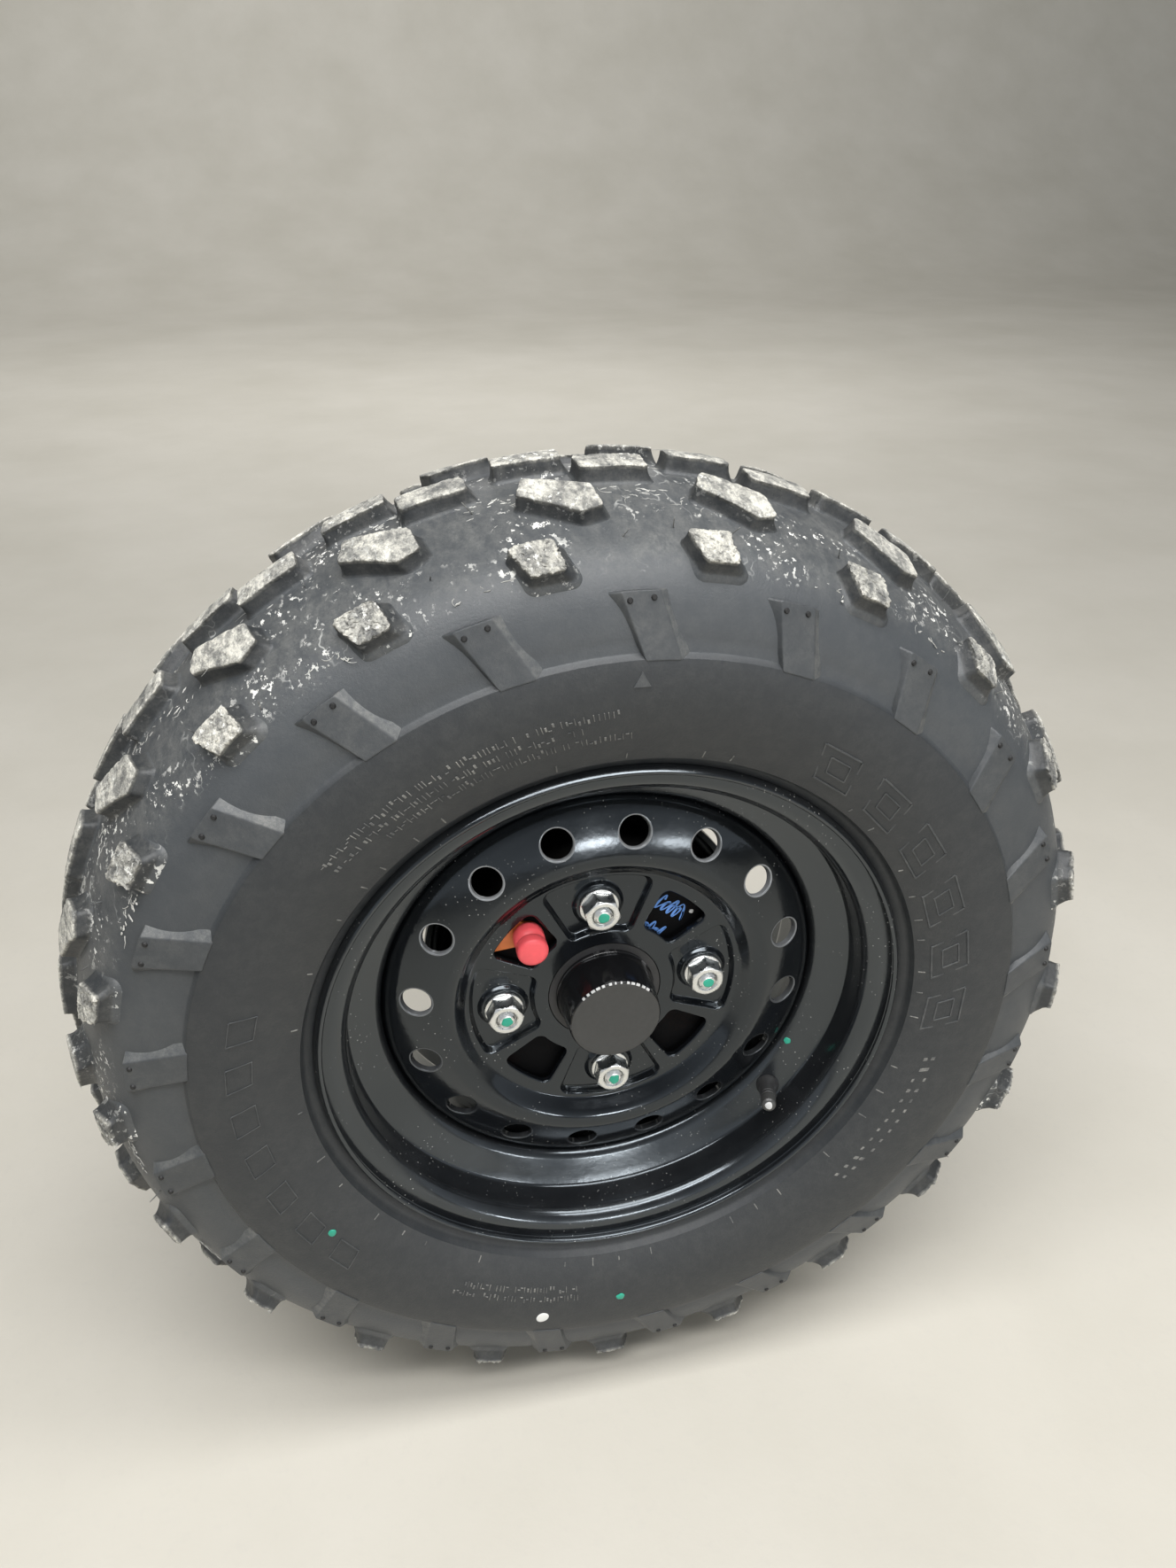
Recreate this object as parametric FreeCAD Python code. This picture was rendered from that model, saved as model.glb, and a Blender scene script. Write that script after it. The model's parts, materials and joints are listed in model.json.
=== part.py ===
"""Front wheel of a quad bike, with its hub, drum brake and steering knuckle.

Lengths are millimetres. The wheel turns about the line through x = 0 and z = 0, along Y.
While it is modelled, y = 0 is the outer edge of the rim: +Y runs inboard, +X to the rear
of the vehicle and +Z up. Every piece is then moved so that the centre of the knuckle's
lower ball joint is the origin. Angles are in degrees, from +X towards +Z.
"""
import FreeCAD, Part
import math
import os
from FreeCAD import Vector

# Rim: an 11 by 5.5 inch pressed steel rim
BEAD_RADIUS = 139.7
RIM_WIDTH = 139.7
RIM_SHEET = 2.5
FLANGE_RADIUS = 154.0
FLANGE_CURL = 7.0
LIP_REACH = 8.15
BEAD_SEAT = 22.0
WELL_DEPTH = 18.7
WELL_START = 39.0
WELL_END = 84.0
WELL_SLOPE = 17.0
RIM_BEND = 4.0
WELL_BEND = 7.0

# Tyre: 22 inches high and 7 inches wide
TYRE_RADIUS = 276.5
TYRE_WIDTH = 178.0
CROWN_ARC = 135.4
SHOULDER_INSET = 29.0
LUG_HEIGHT = 8.5
WALL = 6.5
TREAD_WALL = 12.0
TOE_WIDTH = 17.0
TOE_HEIGHT = 4.0
BEAD_RISE = 6.0
BEAD_INSET = 9.0
SIDE_SHARE = 0.237
RIDGE_SHARE = 0.4653
RIDGE_INSET = 0.5
RIDGE_BEVEL = 0.8
RIDGE_RISE = 3.0
RIDGE_DEPTH = 2.8
PANEL_RISE = 2.0
PANEL_SHARE = 0.6735
PANEL_INSET = 11.0
PITCHES = 21
FIN_ANGLE = 88.4
STAGGER = 7.5

# Lugs of one pitch, outboard half: turn from the fin in degrees, share of the half width from
# the middle, and the corners of the top as (round the tread, across it)
LUG_ROWS = [
    (9.8, 0.798, [(-7.6, 8.5), (12.5, 8.5), (4.9, -8.5), (-9.8, -8.5)]),
    (6.2, 0.41, [(-15.3, 3.0), (12.8, 16.0), (17.5, 2.0), (-6.9, -15.8), (-17.0, -12.7)]),
    (0.0, 0.101, [(-15.5, 8.0), (15.5, 8.0), (14.5, -8.0), (-16.0, -8.0)]),
]
LUG_FOOT = 5.0
LUG_SPREAD = 1.16
FIN_CORNERS = [(-15.1, -16.4), (0.6, -16.4), (10.9, 13.4), (-5.9, 13.4)]
FIN_FOOT = [(-33.0, -16.4), (1.6, -16.4), (22.0, 13.4), (-8.5, 13.4)]
FIN_RISE = 15.5
FIN_INSET = 4.6
FIN_TILT = 14.2
FIN_DEPTH = 9.0
FLATNESS = 0.001

# Wheel disc, welded into the rim's well
DISC_SHEET = 3.2
DISC_BENDS = [9.0, 6.0, 4.0]
WEB_PLANE = 36.5
DISC_CREST = 26.5
CREST_RADIUS = 85.0
SECTOR_RADIUS = 76.0
DISC_EDGE = 38.0
DISC_SKIRT = 18.0
DISC_BORE = 31.0
VENTS = 16
VENT_RADIUS = 8.0
VENT_CIRCLE = 101.6
VENT_ANGLE = 82.2
VENT_EDGE = 1.0
POCKET_DEPTH = 4.0
POCKET_INNER = 38.5
POCKET_OUTER = 74.5
POCKET_HALF_ANGLE = 24.5
POCKET_CORNER = 5.0
WINDOW_INNER = 43.0
WINDOW_OUTER = 68.0
WINDOW_HALF_ANGLE = 13.5
WINDOW_CORNER = 4.0

# Wheel bolts
BOLTS = 4
BOLT_CIRCLE = 55.0
BOLT_ANGLE = 3.4
STUD_RADIUS = 5.0
NUT_ACROSS_FLATS = 17.0
NUT_HEX_HEIGHT = 9.0
NUT_FLANGE_RADIUS = 10.5
NUT_FLANGE_THICKNESS = 1.8
NUT_CONE_HEIGHT = 3.4
SEAT_RISE = 2.6
SEAT_WALL = 3.0
STUD_PROUD = 1.2
THREAD_GAP = 0.1
STUD_HEAD_RADIUS = 8.0
STUD_HEAD_THICKNESS = 4.0

# Hub, brake drum and centre cap
SPIGOT_GAP = 0.5
DRUM_FACE = 5.0
DRUM_WALL = 6.0
DRUM_INNER = 75.0
DRUM_DEPTH = 38.0
DRUM_RIB = 3.0
DRUM_RIB_WIDTH = 5.0
HUB_FLANGE = 9.0
HUB_FLANGE_RADIUS = 69.0
HUB_BARREL_RADIUS = 28.0
HUB_NOSE_RADIUS = 20.0
HUB_NOSE_REACH = 12.0
HUB_SCALLOP_RADIUS = 20.0
HUB_TAIL = 34.0
CAP_REACH = 25.0
CAP_FACE_RADIUS = 24.3
CAP_BASE_RADIUS = 26.8
CAP_WALL = 2.2
CAP_EDGE = 1.2
PLUG_ANGLE = 135.3
PLUG_CIRCLE = 56.6
PLUG_RADIUS = 8.2
PLUG_WAIST = 7.2
PLUG_HEAD = 7.6
PLUG_HOLE_RADIUS = 6.5
PLUG_REACH = 18.0
TAB_THICKNESS = 1.5
TAB_LENGTH = 17.0
TAB_WIDTH = 14.0

# Valve
VALVE_ANGLE = -41.0
VALVE_SHARE = 0.45
VALVE_HOLE_RADIUS = 5.7
VALVE_REACH = 27.0
VALVE_COLLAR_RADIUS = 6.6
VALVE_COLLAR = 7.0
VALVE_BULB = 5.0
VALVE_STEM_RADIUS = 4.6
VALVE_CAP_LENGTH = 9.5
VALVE_CAP_RADIUS = 4.2
VALVE_CAP_EDGE = 1.0

# Knuckle and spindle
SPINDLE_RADIUS = 12.5
SPINDLE_ROOT_RADIUS = 17.5
SPINDLE_GAP = 0.05
SPINDLE_STEP = 62.0
SPINDLE_THREAD_RADIUS = 8.0
SPINDLE_THREAD = 7.0
MOVING_GAP = 5.0
PANEL_THICKNESS = 3.0
PANEL_LIP = 6.0
PANEL_BEND = 4.0
SWAGE_OUTER = 84.5
SWAGE_INNER = 76.0
SWAGE_SLOPE = 2.6
SWAGE_RISE = 2.4
SWAGE_BEND = 2.2
PANEL_BOLTS = 4
PANEL_BOLT_CIRCLE = 31.0
PANEL_BOLT_RADIUS = 4.0
PANEL_BOLT_FLATS = 12.0
PANEL_BOLT_HEAD = 5.0
PANEL_BOLT_ANGLE = 45.0
KNUCKLE_FLANGE_RADIUS = 40.0
KNUCKLE_BLOCK_RADIUS = 22.0
KNUCKLE_FLANGE = 8.0
KNUCKLE_WEB = 20.0
KNUCKLE_NECK = 14.0
ARM_ROOT_WIDTH = 26.0
ARM_ROOT_DEPTH = 15.0
ARM_END_WIDTH = 20.0
ARM_END_DEPTH = 9.5
ARM_BORE_GAP = 3.5
ROD_ARM_WIDTH = 12.0
ARM_ROUNDING = 3.0
BALL_BOSS_RADIUS = 15.0
BALL_BOSS_HEIGHT = 24.0
BALL_BORE_RADIUS = 6.2
BOSS_BEVEL = 1.5
LOWER_JOINT = Vector(0, 118, -74)
UPPER_JOINT = Vector(6, 134, 76)
ROD_BOSS_RADIUS = 12.0
ROD_BOSS_HEIGHT = 18.0
ROD_BORE_RADIUS = 5.2
ROD_JOINT = Vector(84, 122, -22)

# Brake cylinder on the back of the panel
CYLINDER_ANGLE = 145.0
CYLINDER_CIRCLE = 62.0
CYLINDER_LENGTH = 44.0
CYLINDER_WIDTH = 18.0
CYLINDER_HEIGHT = 11.0
CYLINDER_ROUNDING = 3.0
INLET_RADIUS = 7.0
INLET_REACH = 9.0
INLET_BORE_RADIUS = 3.6
BLEED_RADIUS = 3.0
BLEED_REACH = 17.0
FIXING_SPREAD = 13.0

# Places that follow from the sizes above
MIDDLE = LIP_REACH + RIM_WIDTH / 2
WELL_RADIUS = BEAD_RADIUS - WELL_DEPTH
RIDGE_RADIUS = FLANGE_RADIUS + RIDGE_SHARE * (TYRE_RADIUS - FLANGE_RADIUS)
HUB_FACE = WEB_PLANE + DISC_SHEET + POCKET_DEPTH
FLANGE_FACE = HUB_FACE + DRUM_FACE
SPIGOT_RADIUS = DISC_BORE - SPIGOT_GAP
DRUM_OUTER = DRUM_INNER + DRUM_WALL
DRUM_EDGE = HUB_FACE + DRUM_DEPTH
PANEL_FACE = DRUM_EDGE + MOVING_GAP
PANEL_BACK = PANEL_FACE + PANEL_THICKNESS
POCKET_FLOOR = WEB_PLANE + POCKET_DEPTH
AXIS = Vector(0, 1, 0)
OUTBOARD = Vector(0, -1, 0)
UP = Vector(0, 0, 1)


def section(y, radius):
    """A point of a turned section: y along the axle, radius away from it."""
    return Vector(0, y, radius)


def around(radius, angle, y):
    """A point at a radius and an angle round the axle."""
    turn = math.radians(angle)
    return Vector(radius * math.cos(turn), y, radius * math.sin(turn))


def turned(wire):
    """Revolves a closed section round the axle."""
    return Part.Face(wire).revolve(Vector(0, 0, 0), AXIS, 360)


def polygon(points):
    """Closed wire through a list of points."""
    return Part.makePolygon(list(points) + [points[0]])


def lathe(profile):
    """Turns a closed section given as (y, radius) corners."""
    return turned(polygon([section(y, radius) for y, radius in profile]))


def rod(radius, start, end):
    """Solid cylinder from one point to another."""
    along = end - start
    return Part.makeCylinder(radius, along.Length, start, along)


def hexagon(centre, flats, height):
    """Hexagonal prism from a centre point inboard along the axle."""
    corner = flats / 2 / math.cos(math.radians(30))
    corners = [centre + around(corner, 60 * k, 0) for k in range(6)]
    return Part.Face(polygon(corners)).extrude(AXIS * height)


def copies(count, shape):
    """The same shape repeated evenly round the axle."""
    turns = []
    for index in range(count):
        copy = shape.copy()
        copy.rotate(Vector(0, 0, 0), OUTBOARD, 360.0 * index / count)
        turns.append(copy)
    return turns


def moved_line(points, distance):
    """Moves an open (y, radius) outline sideways, to the left of its direction."""
    steps = []
    for start, end in zip(points, points[1:]):
        length = math.hypot(end[0] - start[0], end[1] - start[1])
        steps.append(((end[0] - start[0]) / length, (end[1] - start[1]) / length))
    before = [steps[0]] + steps
    after = steps + [steps[-1]]
    result = []
    for point, first, second in zip(points, before, after):
        share = distance / (1 + first[0] * second[0] + first[1] * second[1])
        across = (-(first[1] + second[1]) * share, (first[0] + second[0]) * share)
        result.append((point[0] + across[0], point[1] + across[1]))
    return result


def bent_line(points, bends):
    """Edges along an open (y, radius) outline, with an arc of the given radius at each bend."""
    corners = [section(*point) for point in points]
    edges = []
    here = corners[0]
    for index, bend in enumerate(bends, start=1):
        corner = corners[index]
        back = (corners[index - 1] - corner).normalize()
        ahead = (corners[index + 1] - corner).normalize()
        half = back.getAngle(ahead) / 2
        reach = bend / math.tan(half)
        middle = (back + ahead).normalize() * (bend / math.sin(half) - bend)
        start = corner + back * reach
        end = corner + ahead * reach
        edges.append(Part.LineSegment(here, start).toShape())
        edges.append(Part.Arc(start, corner + middle, end).toShape())
        here = end
    edges.append(Part.LineSegment(here, corners[-1]).toShape())
    return edges


def pressed_sheet(points, bends, thickness):
    """Turned sheet of even thickness along a (y, radius) centre line, bent at each corner."""
    sides = []
    for half in (thickness / 2, -thickness / 2):
        radii = []
        for index, bend in enumerate(bends, start=1):
            a, b, c = points[index - 1:index + 2]
            left = (b[0] - a[0]) * (c[1] - b[1]) - (b[1] - a[1]) * (c[0] - b[0]) > 0
            radii.append(bend - half if left else bend + half)
        sides.append(bent_line(moved_line(points, half), radii))
    first, second = sides
    ends = []
    for index, place in ((0, 0), (-1, 1)):
        start = first[index].Vertexes[place].Point
        end = second[index].Vertexes[place].Point
        ends.append(Part.LineSegment(start, end).toShape())
    return turned(Part.Wire(Part.__sortEdges__(first + second + ends)))


def block(centre, out, along, top, foot, depth):
    """Flat-topped block. The corners of its top, and of its foot that lies depth below the top,
    are at (along, across) from the centre. A side that isn't flat is two triangles."""
    across = out.cross(along)
    upper = [centre + along * u + across * w for u, w in top]
    lower = [centre - out * depth + along * u + across * w for u, w in foot]
    faces = [Part.Face(polygon(upper)), Part.Face(polygon(lower))]
    for index in range(len(top)):
        after = (index + 1) % len(top)
        a, b, c, d = upper[index], upper[after], lower[after], lower[index]
        if abs((b - a).cross(d - a).dot(c - a)) < FLATNESS:
            faces.append(Part.Face(polygon([a, b, c, d])))
        else:
            faces.append(Part.Face(polygon([a, b, c])))
            faces.append(Part.Face(polygon([a, c, d])))
    solid = Part.Solid(Part.Shell(faces))
    if solid.Volume < 0:
        solid.reverse()
    return solid


def sector(inner, outer, angle, half_angle, near, far, corner):
    """Part of a ring between two radii and two planes, with its four long edges rounded."""
    def side(radius, turn):
        return around(radius, angle + turn, near)
    edges = [
        Part.Arc(side(inner, -half_angle), side(inner, 0), side(inner, half_angle)).toShape(),
        Part.LineSegment(side(inner, half_angle), side(outer, half_angle)).toShape(),
        Part.Arc(side(outer, half_angle), side(outer, 0), side(outer, -half_angle)).toShape(),
        Part.LineSegment(side(outer, -half_angle), side(inner, -half_angle)).toShape(),
    ]
    solid = Part.Face(Part.Wire(edges)).extrude(AXIS * (far - near))
    long_edges = []
    for edge in solid.Edges:
        ends = edge.Vertexes
        if abs(ends[0].Point.y - ends[-1].Point.y) > (far - near) / 2:
            long_edges.append(edge)
    return solid.makeFillet(corner, long_edges)


def rim_barrel():
    """Pressed rim with two curled flanges, bead seats and a drop centre."""
    seat = BEAD_RADIUS - RIM_SHEET / 2
    well = WELL_RADIUS - RIM_SHEET / 2
    lip = FLANGE_RADIUS - RIM_SHEET / 2
    outer_wall = LIP_REACH - RIM_SHEET / 2
    inner_wall = 2 * MIDDLE - outer_wall
    points = [
        (0, lip), (outer_wall, lip), (outer_wall, seat), (LIP_REACH + BEAD_SEAT, seat),
        (WELL_START, well), (WELL_END, well), (WELL_END + WELL_SLOPE, seat),
        (inner_wall, seat), (inner_wall, lip), (2 * MIDDLE, lip),
    ]
    curl = FLANGE_CURL - RIM_SHEET / 2
    bends = [curl, RIM_BEND, RIM_BEND, WELL_BEND, WELL_BEND, RIM_BEND, RIM_BEND, curl]
    barrel = pressed_sheet(points, bends, RIM_SHEET)
    centre, out = valve_axis()
    return barrel.cut(rod(VALVE_HOLE_RADIUS, centre - out * 2 * RIM_SHEET, centre + out * 2 * RIM_SHEET))


def disc_line():
    """Centre line of the disc, from its skirt in the rim's well to its bore."""
    half = DISC_SHEET / 2
    edge = WELL_RADIUS - RIM_SHEET - half
    return [
        (DISC_EDGE + DISC_SKIRT, edge), (DISC_EDGE + half, edge), (DISC_CREST + half, CREST_RADIUS),
        (WEB_PLANE + half, SECTOR_RADIUS), (WEB_PLANE + half, DISC_BORE),
    ]


def wheel_disc():
    """Pressed disc with a ring of vents, four nut pockets and four windows between them."""
    disc = pressed_sheet(disc_line(), DISC_BENDS, DISC_SHEET)
    wall = DISC_SHEET
    cone_top = POCKET_FLOOR - SEAT_RISE
    seat = around(BOLT_CIRCLE, BOLT_ANGLE, 0)
    pads = sector(POCKET_INNER - wall, POCKET_OUTER - wall / 2, BOLT_ANGLE,
                  POCKET_HALF_ANGLE + 2, WEB_PLANE + wall / 2, HUB_FACE, POCKET_CORNER)
    pocket = sector(POCKET_INNER, POCKET_OUTER - wall / 2, BOLT_ANGLE, POCKET_HALF_ANGLE,
                    WEB_PLANE - wall, POCKET_FLOOR, POCKET_CORNER)
    collar = Part.makeCone(NUT_FLANGE_RADIUS, NUT_FLANGE_RADIUS + SEAT_WALL, SEAT_RISE,
                           seat + AXIS * cone_top, AXIS)
    hole = rod(STUD_RADIUS + SPIGOT_GAP, seat, seat + AXIS * (HUB_FACE + wall))
    cone = nut_cone()
    window = sector(WINDOW_INNER, WINDOW_OUTER, BOLT_ANGLE + 180.0 / BOLTS, WINDOW_HALF_ANGLE,
                    WEB_PLANE - wall, HUB_FACE + wall, WINDOW_CORNER)
    slope = math.atan2(DISC_EDGE - DISC_CREST, WELL_RADIUS - CREST_RADIUS)
    vent_centre = around(VENT_CIRCLE, VENT_ANGLE, (DISC_EDGE + DISC_CREST) / 2)
    vent_out = around(math.sin(slope), VENT_ANGLE, -math.cos(slope))
    vent = rod(VENT_RADIUS, vent_centre - vent_out * 4 * wall, vent_centre + vent_out * 4 * wall)
    vent_edge = Part.makeCone(VENT_RADIUS + 2 * VENT_EDGE, VENT_RADIUS, 2 * VENT_EDGE,
                              vent_centre + vent_out * VENT_EDGE, -vent_out)
    vent = vent.fuse(vent_edge)
    disc = disc.fuse(copies(BOLTS, pads))
    disc = disc.cut(copies(BOLTS, pocket))
    disc = disc.fuse(copies(BOLTS, collar))
    cuts = copies(BOLTS, hole) + copies(BOLTS, cone) + copies(BOLTS, window)
    return disc.cut(cuts + copies(VENTS, vent))


def nut_cone():
    """Cone under the first nut, which sits in the disc's own cone."""
    top = around(BOLT_CIRCLE, BOLT_ANGLE, POCKET_FLOOR - SEAT_RISE)
    return Part.makeCone(NUT_FLANGE_RADIUS - NUT_FLANGE_THICKNESS, STUD_RADIUS + SPIGOT_GAP,
                         NUT_CONE_HEIGHT, top, AXIS)


def wheel_nuts():
    """Hexagon nuts with a round flange and a cone seat."""
    centre = around(BOLT_CIRCLE, BOLT_ANGLE, 0)
    flange_face = POCKET_FLOOR - SEAT_RISE
    hex_face = flange_face - NUT_FLANGE_THICKNESS
    end = hex_face - NUT_HEX_HEIGHT
    bevel = Part.makeCone(NUT_ACROSS_FLATS / 2, NUT_ACROSS_FLATS / 2 + NUT_HEX_HEIGHT * 1.8, NUT_HEX_HEIGHT,
                          centre + AXIS * end, AXIS)
    nut = hexagon(centre + AXIS * end, NUT_ACROSS_FLATS, NUT_HEX_HEIGHT).common(bevel)
    flange = rod(NUT_FLANGE_RADIUS, centre + AXIS * hex_face, centre + AXIS * flange_face)
    nut = nut.fuse([flange, nut_cone()])
    bore = rod(STUD_RADIUS + THREAD_GAP, centre, centre + AXIS * HUB_FACE)
    return copies(BOLTS, nut.cut(bore))


def wheel_studs():
    """Studs pressed into the hub's flange from behind."""
    centre = around(BOLT_CIRCLE, BOLT_ANGLE, 0)
    nut_end = POCKET_FLOOR - SEAT_RISE - NUT_FLANGE_THICKNESS - NUT_HEX_HEIGHT
    back = FLANGE_FACE + HUB_FLANGE
    shank = rod(STUD_RADIUS, centre + AXIS * (nut_end - STUD_PROUD), centre + AXIS * back)
    head = rod(STUD_HEAD_RADIUS, centre + AXIS * back, centre + AXIS * (back + STUD_HEAD_THICKNESS))
    return copies(BOLTS, shank.fuse(head))


def hub():
    """Hub with a scalloped flange, a spigot for drum and disc, and a nose under the cap."""
    body = lathe([
        (WEB_PLANE - HUB_NOSE_REACH, 0), (WEB_PLANE - HUB_NOSE_REACH, HUB_NOSE_RADIUS),
        (WEB_PLANE, HUB_NOSE_RADIUS), (WEB_PLANE, SPIGOT_RADIUS), (FLANGE_FACE, SPIGOT_RADIUS),
        (FLANGE_FACE, HUB_FLANGE_RADIUS), (FLANGE_FACE + HUB_FLANGE, HUB_FLANGE_RADIUS),
        (FLANGE_FACE + HUB_FLANGE, HUB_BARREL_RADIUS), (FLANGE_FACE + HUB_TAIL, HUB_BARREL_RADIUS),
        (FLANGE_FACE + HUB_TAIL, 0),
    ])
    between = BOLT_ANGLE + 180.0 / BOLTS
    scallop = rod(HUB_SCALLOP_RADIUS, around(HUB_FLANGE_RADIUS, between, FLANGE_FACE),
                  around(HUB_FLANGE_RADIUS, between, FLANGE_FACE + HUB_FLANGE))
    stud_hole = rod(STUD_RADIUS, around(BOLT_CIRCLE, BOLT_ANGLE, FLANGE_FACE),
                    around(BOLT_CIRCLE, BOLT_ANGLE, FLANGE_FACE + HUB_FLANGE))
    bore = [
        rod(SPINDLE_RADIUS + SPINDLE_GAP, Vector(0, 0, 0), AXIS * SPINDLE_STEP),
        rod(SPINDLE_ROOT_RADIUS + SPINDLE_GAP, AXIS * SPINDLE_STEP, AXIS * (FLANGE_FACE + HUB_TAIL)),
    ]
    return body.cut(copies(BOLTS, scallop) + copies(BOLTS, stud_hole) + bore)


def brake_drum():
    """Drum clamped between the hub's flange and the wheel disc, with a rib round its open edge."""
    drum = lathe([
        (HUB_FACE, SPIGOT_RADIUS), (HUB_FACE, DRUM_OUTER - DRUM_WALL / 2),
        (HUB_FACE + DRUM_WALL / 2, DRUM_OUTER),
        (DRUM_EDGE - DRUM_RIB_WIDTH, DRUM_OUTER), (DRUM_EDGE - DRUM_RIB_WIDTH, DRUM_OUTER + DRUM_RIB),
        (DRUM_EDGE, DRUM_OUTER + DRUM_RIB), (DRUM_EDGE, DRUM_INNER),
        (FLANGE_FACE, DRUM_INNER), (FLANGE_FACE, SPIGOT_RADIUS),
    ])
    stud_hole = rod(STUD_RADIUS + SPIGOT_GAP, around(BOLT_CIRCLE, BOLT_ANGLE, HUB_FACE),
                    around(BOLT_CIRCLE, BOLT_ANGLE, FLANGE_FACE))
    adjuster = rod(PLUG_HOLE_RADIUS, around(PLUG_CIRCLE, PLUG_ANGLE, HUB_FACE),
                   around(PLUG_CIRCLE, PLUG_ANGLE, FLANGE_FACE))
    return drum.cut(copies(BOLTS, stud_hole) + [adjuster])


def centre_cap():
    """Cup with a slight taper over the hub's nose, seated on the hub's spigot."""
    face = WEB_PLANE - CAP_REACH
    taper = (CAP_BASE_RADIUS - CAP_FACE_RADIUS) / CAP_REACH
    return lathe([
        (face, 0), (face, CAP_FACE_RADIUS - CAP_EDGE), (face + CAP_EDGE, CAP_FACE_RADIUS),
        (WEB_PLANE, CAP_BASE_RADIUS), (WEB_PLANE, CAP_BASE_RADIUS - CAP_WALL),
        (face + CAP_WALL, CAP_FACE_RADIUS + taper * CAP_WALL - CAP_WALL), (face + CAP_WALL, 0),
    ])


def drum_plug():
    """Plug in the drum's adjuster hole, with a waist behind its round-edged head."""
    seat = around(PLUG_CIRCLE, PLUG_ANGLE, HUB_FACE - TAB_THICKNESS)
    waist = PLUG_RADIUS - PLUG_WAIST
    profile = [
        (-PLUG_REACH, 0), (-PLUG_REACH, PLUG_WAIST), (waist - PLUG_REACH, PLUG_RADIUS),
        (PLUG_HEAD - PLUG_REACH, PLUG_RADIUS), (PLUG_HEAD + waist - PLUG_REACH, PLUG_WAIST),
        (PLUG_HEAD + 2 * waist - PLUG_REACH, PLUG_RADIUS), (0, PLUG_RADIUS),
        (0, PLUG_HOLE_RADIUS), (TAB_THICKNESS + DRUM_FACE, PLUG_HOLE_RADIUS), (TAB_THICKNESS + DRUM_FACE, 0),
    ]
    plug = lathe(profile)
    plug.translate(seat)
    return plug


def plug_tab():
    """Flat tab held on the drum's face under the plug."""
    centre = around(PLUG_CIRCLE, PLUG_ANGLE, HUB_FACE)
    tab = rod(TAB_WIDTH / 2, centre + OUTBOARD * TAB_THICKNESS, centre)
    arm = Part.makeBox(TAB_LENGTH, TAB_THICKNESS, TAB_WIDTH, Vector(0, -TAB_THICKNESS, -TAB_WIDTH / 2))
    arm.rotate(Vector(0, 0, 0), OUTBOARD, 180)
    arm.translate(centre)
    hole = rod(PLUG_HOLE_RADIUS, centre + OUTBOARD * TAB_THICKNESS, centre)
    return tab.fuse(arm).cut(hole)


def valve_axis():
    """Middle of the valve hole in the rim's sloping wall, and the direction out of it."""
    run = WELL_START - LIP_REACH - BEAD_SEAT
    slope = math.hypot(run, WELL_DEPTH)
    radius = BEAD_RADIUS - RIM_SHEET / 2 - WELL_DEPTH * VALVE_SHARE
    centre = around(radius, VALVE_ANGLE, LIP_REACH + BEAD_SEAT + run * VALVE_SHARE)
    out = around(-run / slope, VALVE_ANGLE, -WELL_DEPTH / slope)
    return centre, out


def valve():
    """Rubber valve stem through the rim's sloping wall, and its cap."""
    centre, out = valve_axis()
    half = RIM_SHEET / 2
    neck = VALVE_REACH - VALVE_CAP_LENGTH
    stem = rod(VALVE_STEM_RADIUS, centre, centre + out * neck)
    stem = stem.fuse([
        rod(VALVE_HOLE_RADIUS, centre - out * half, centre + out * half),
        rod(VALVE_COLLAR_RADIUS, centre - out * (half + VALVE_BULB), centre - out * half),
        Part.makeCone(VALVE_COLLAR_RADIUS, VALVE_STEM_RADIUS, VALVE_COLLAR, centre + out * half, out),
    ])
    cap = rod(VALVE_CAP_RADIUS, centre + out * neck, centre + out * VALVE_REACH)
    rim = [edge for edge in cap.Edges if edge.CenterOfMass.distanceToPoint(centre + out * VALVE_REACH) < half]
    return stem, cap.makeFillet(VALVE_CAP_EDGE, rim)


def tyre_radius(y):
    """Radius of the lugs' tips over a place across the tread."""
    across = y - MIDDLE
    return TYRE_RADIUS - CROWN_ARC + math.sqrt(CROWN_ARC ** 2 - across ** 2)


def wall_radius(share):
    """Radius at a share of the sidewall's height, from the rim's flange up to the lugs' tips."""
    return FLANGE_RADIUS + share * (TYRE_RADIUS - FLANGE_RADIUS)


def carcass_radius(across):
    """Radius of the carcass between the lugs, at a distance from the tyre's middle."""
    return tyre_radius(MIDDLE + across) - LUG_HEIGHT


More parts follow.
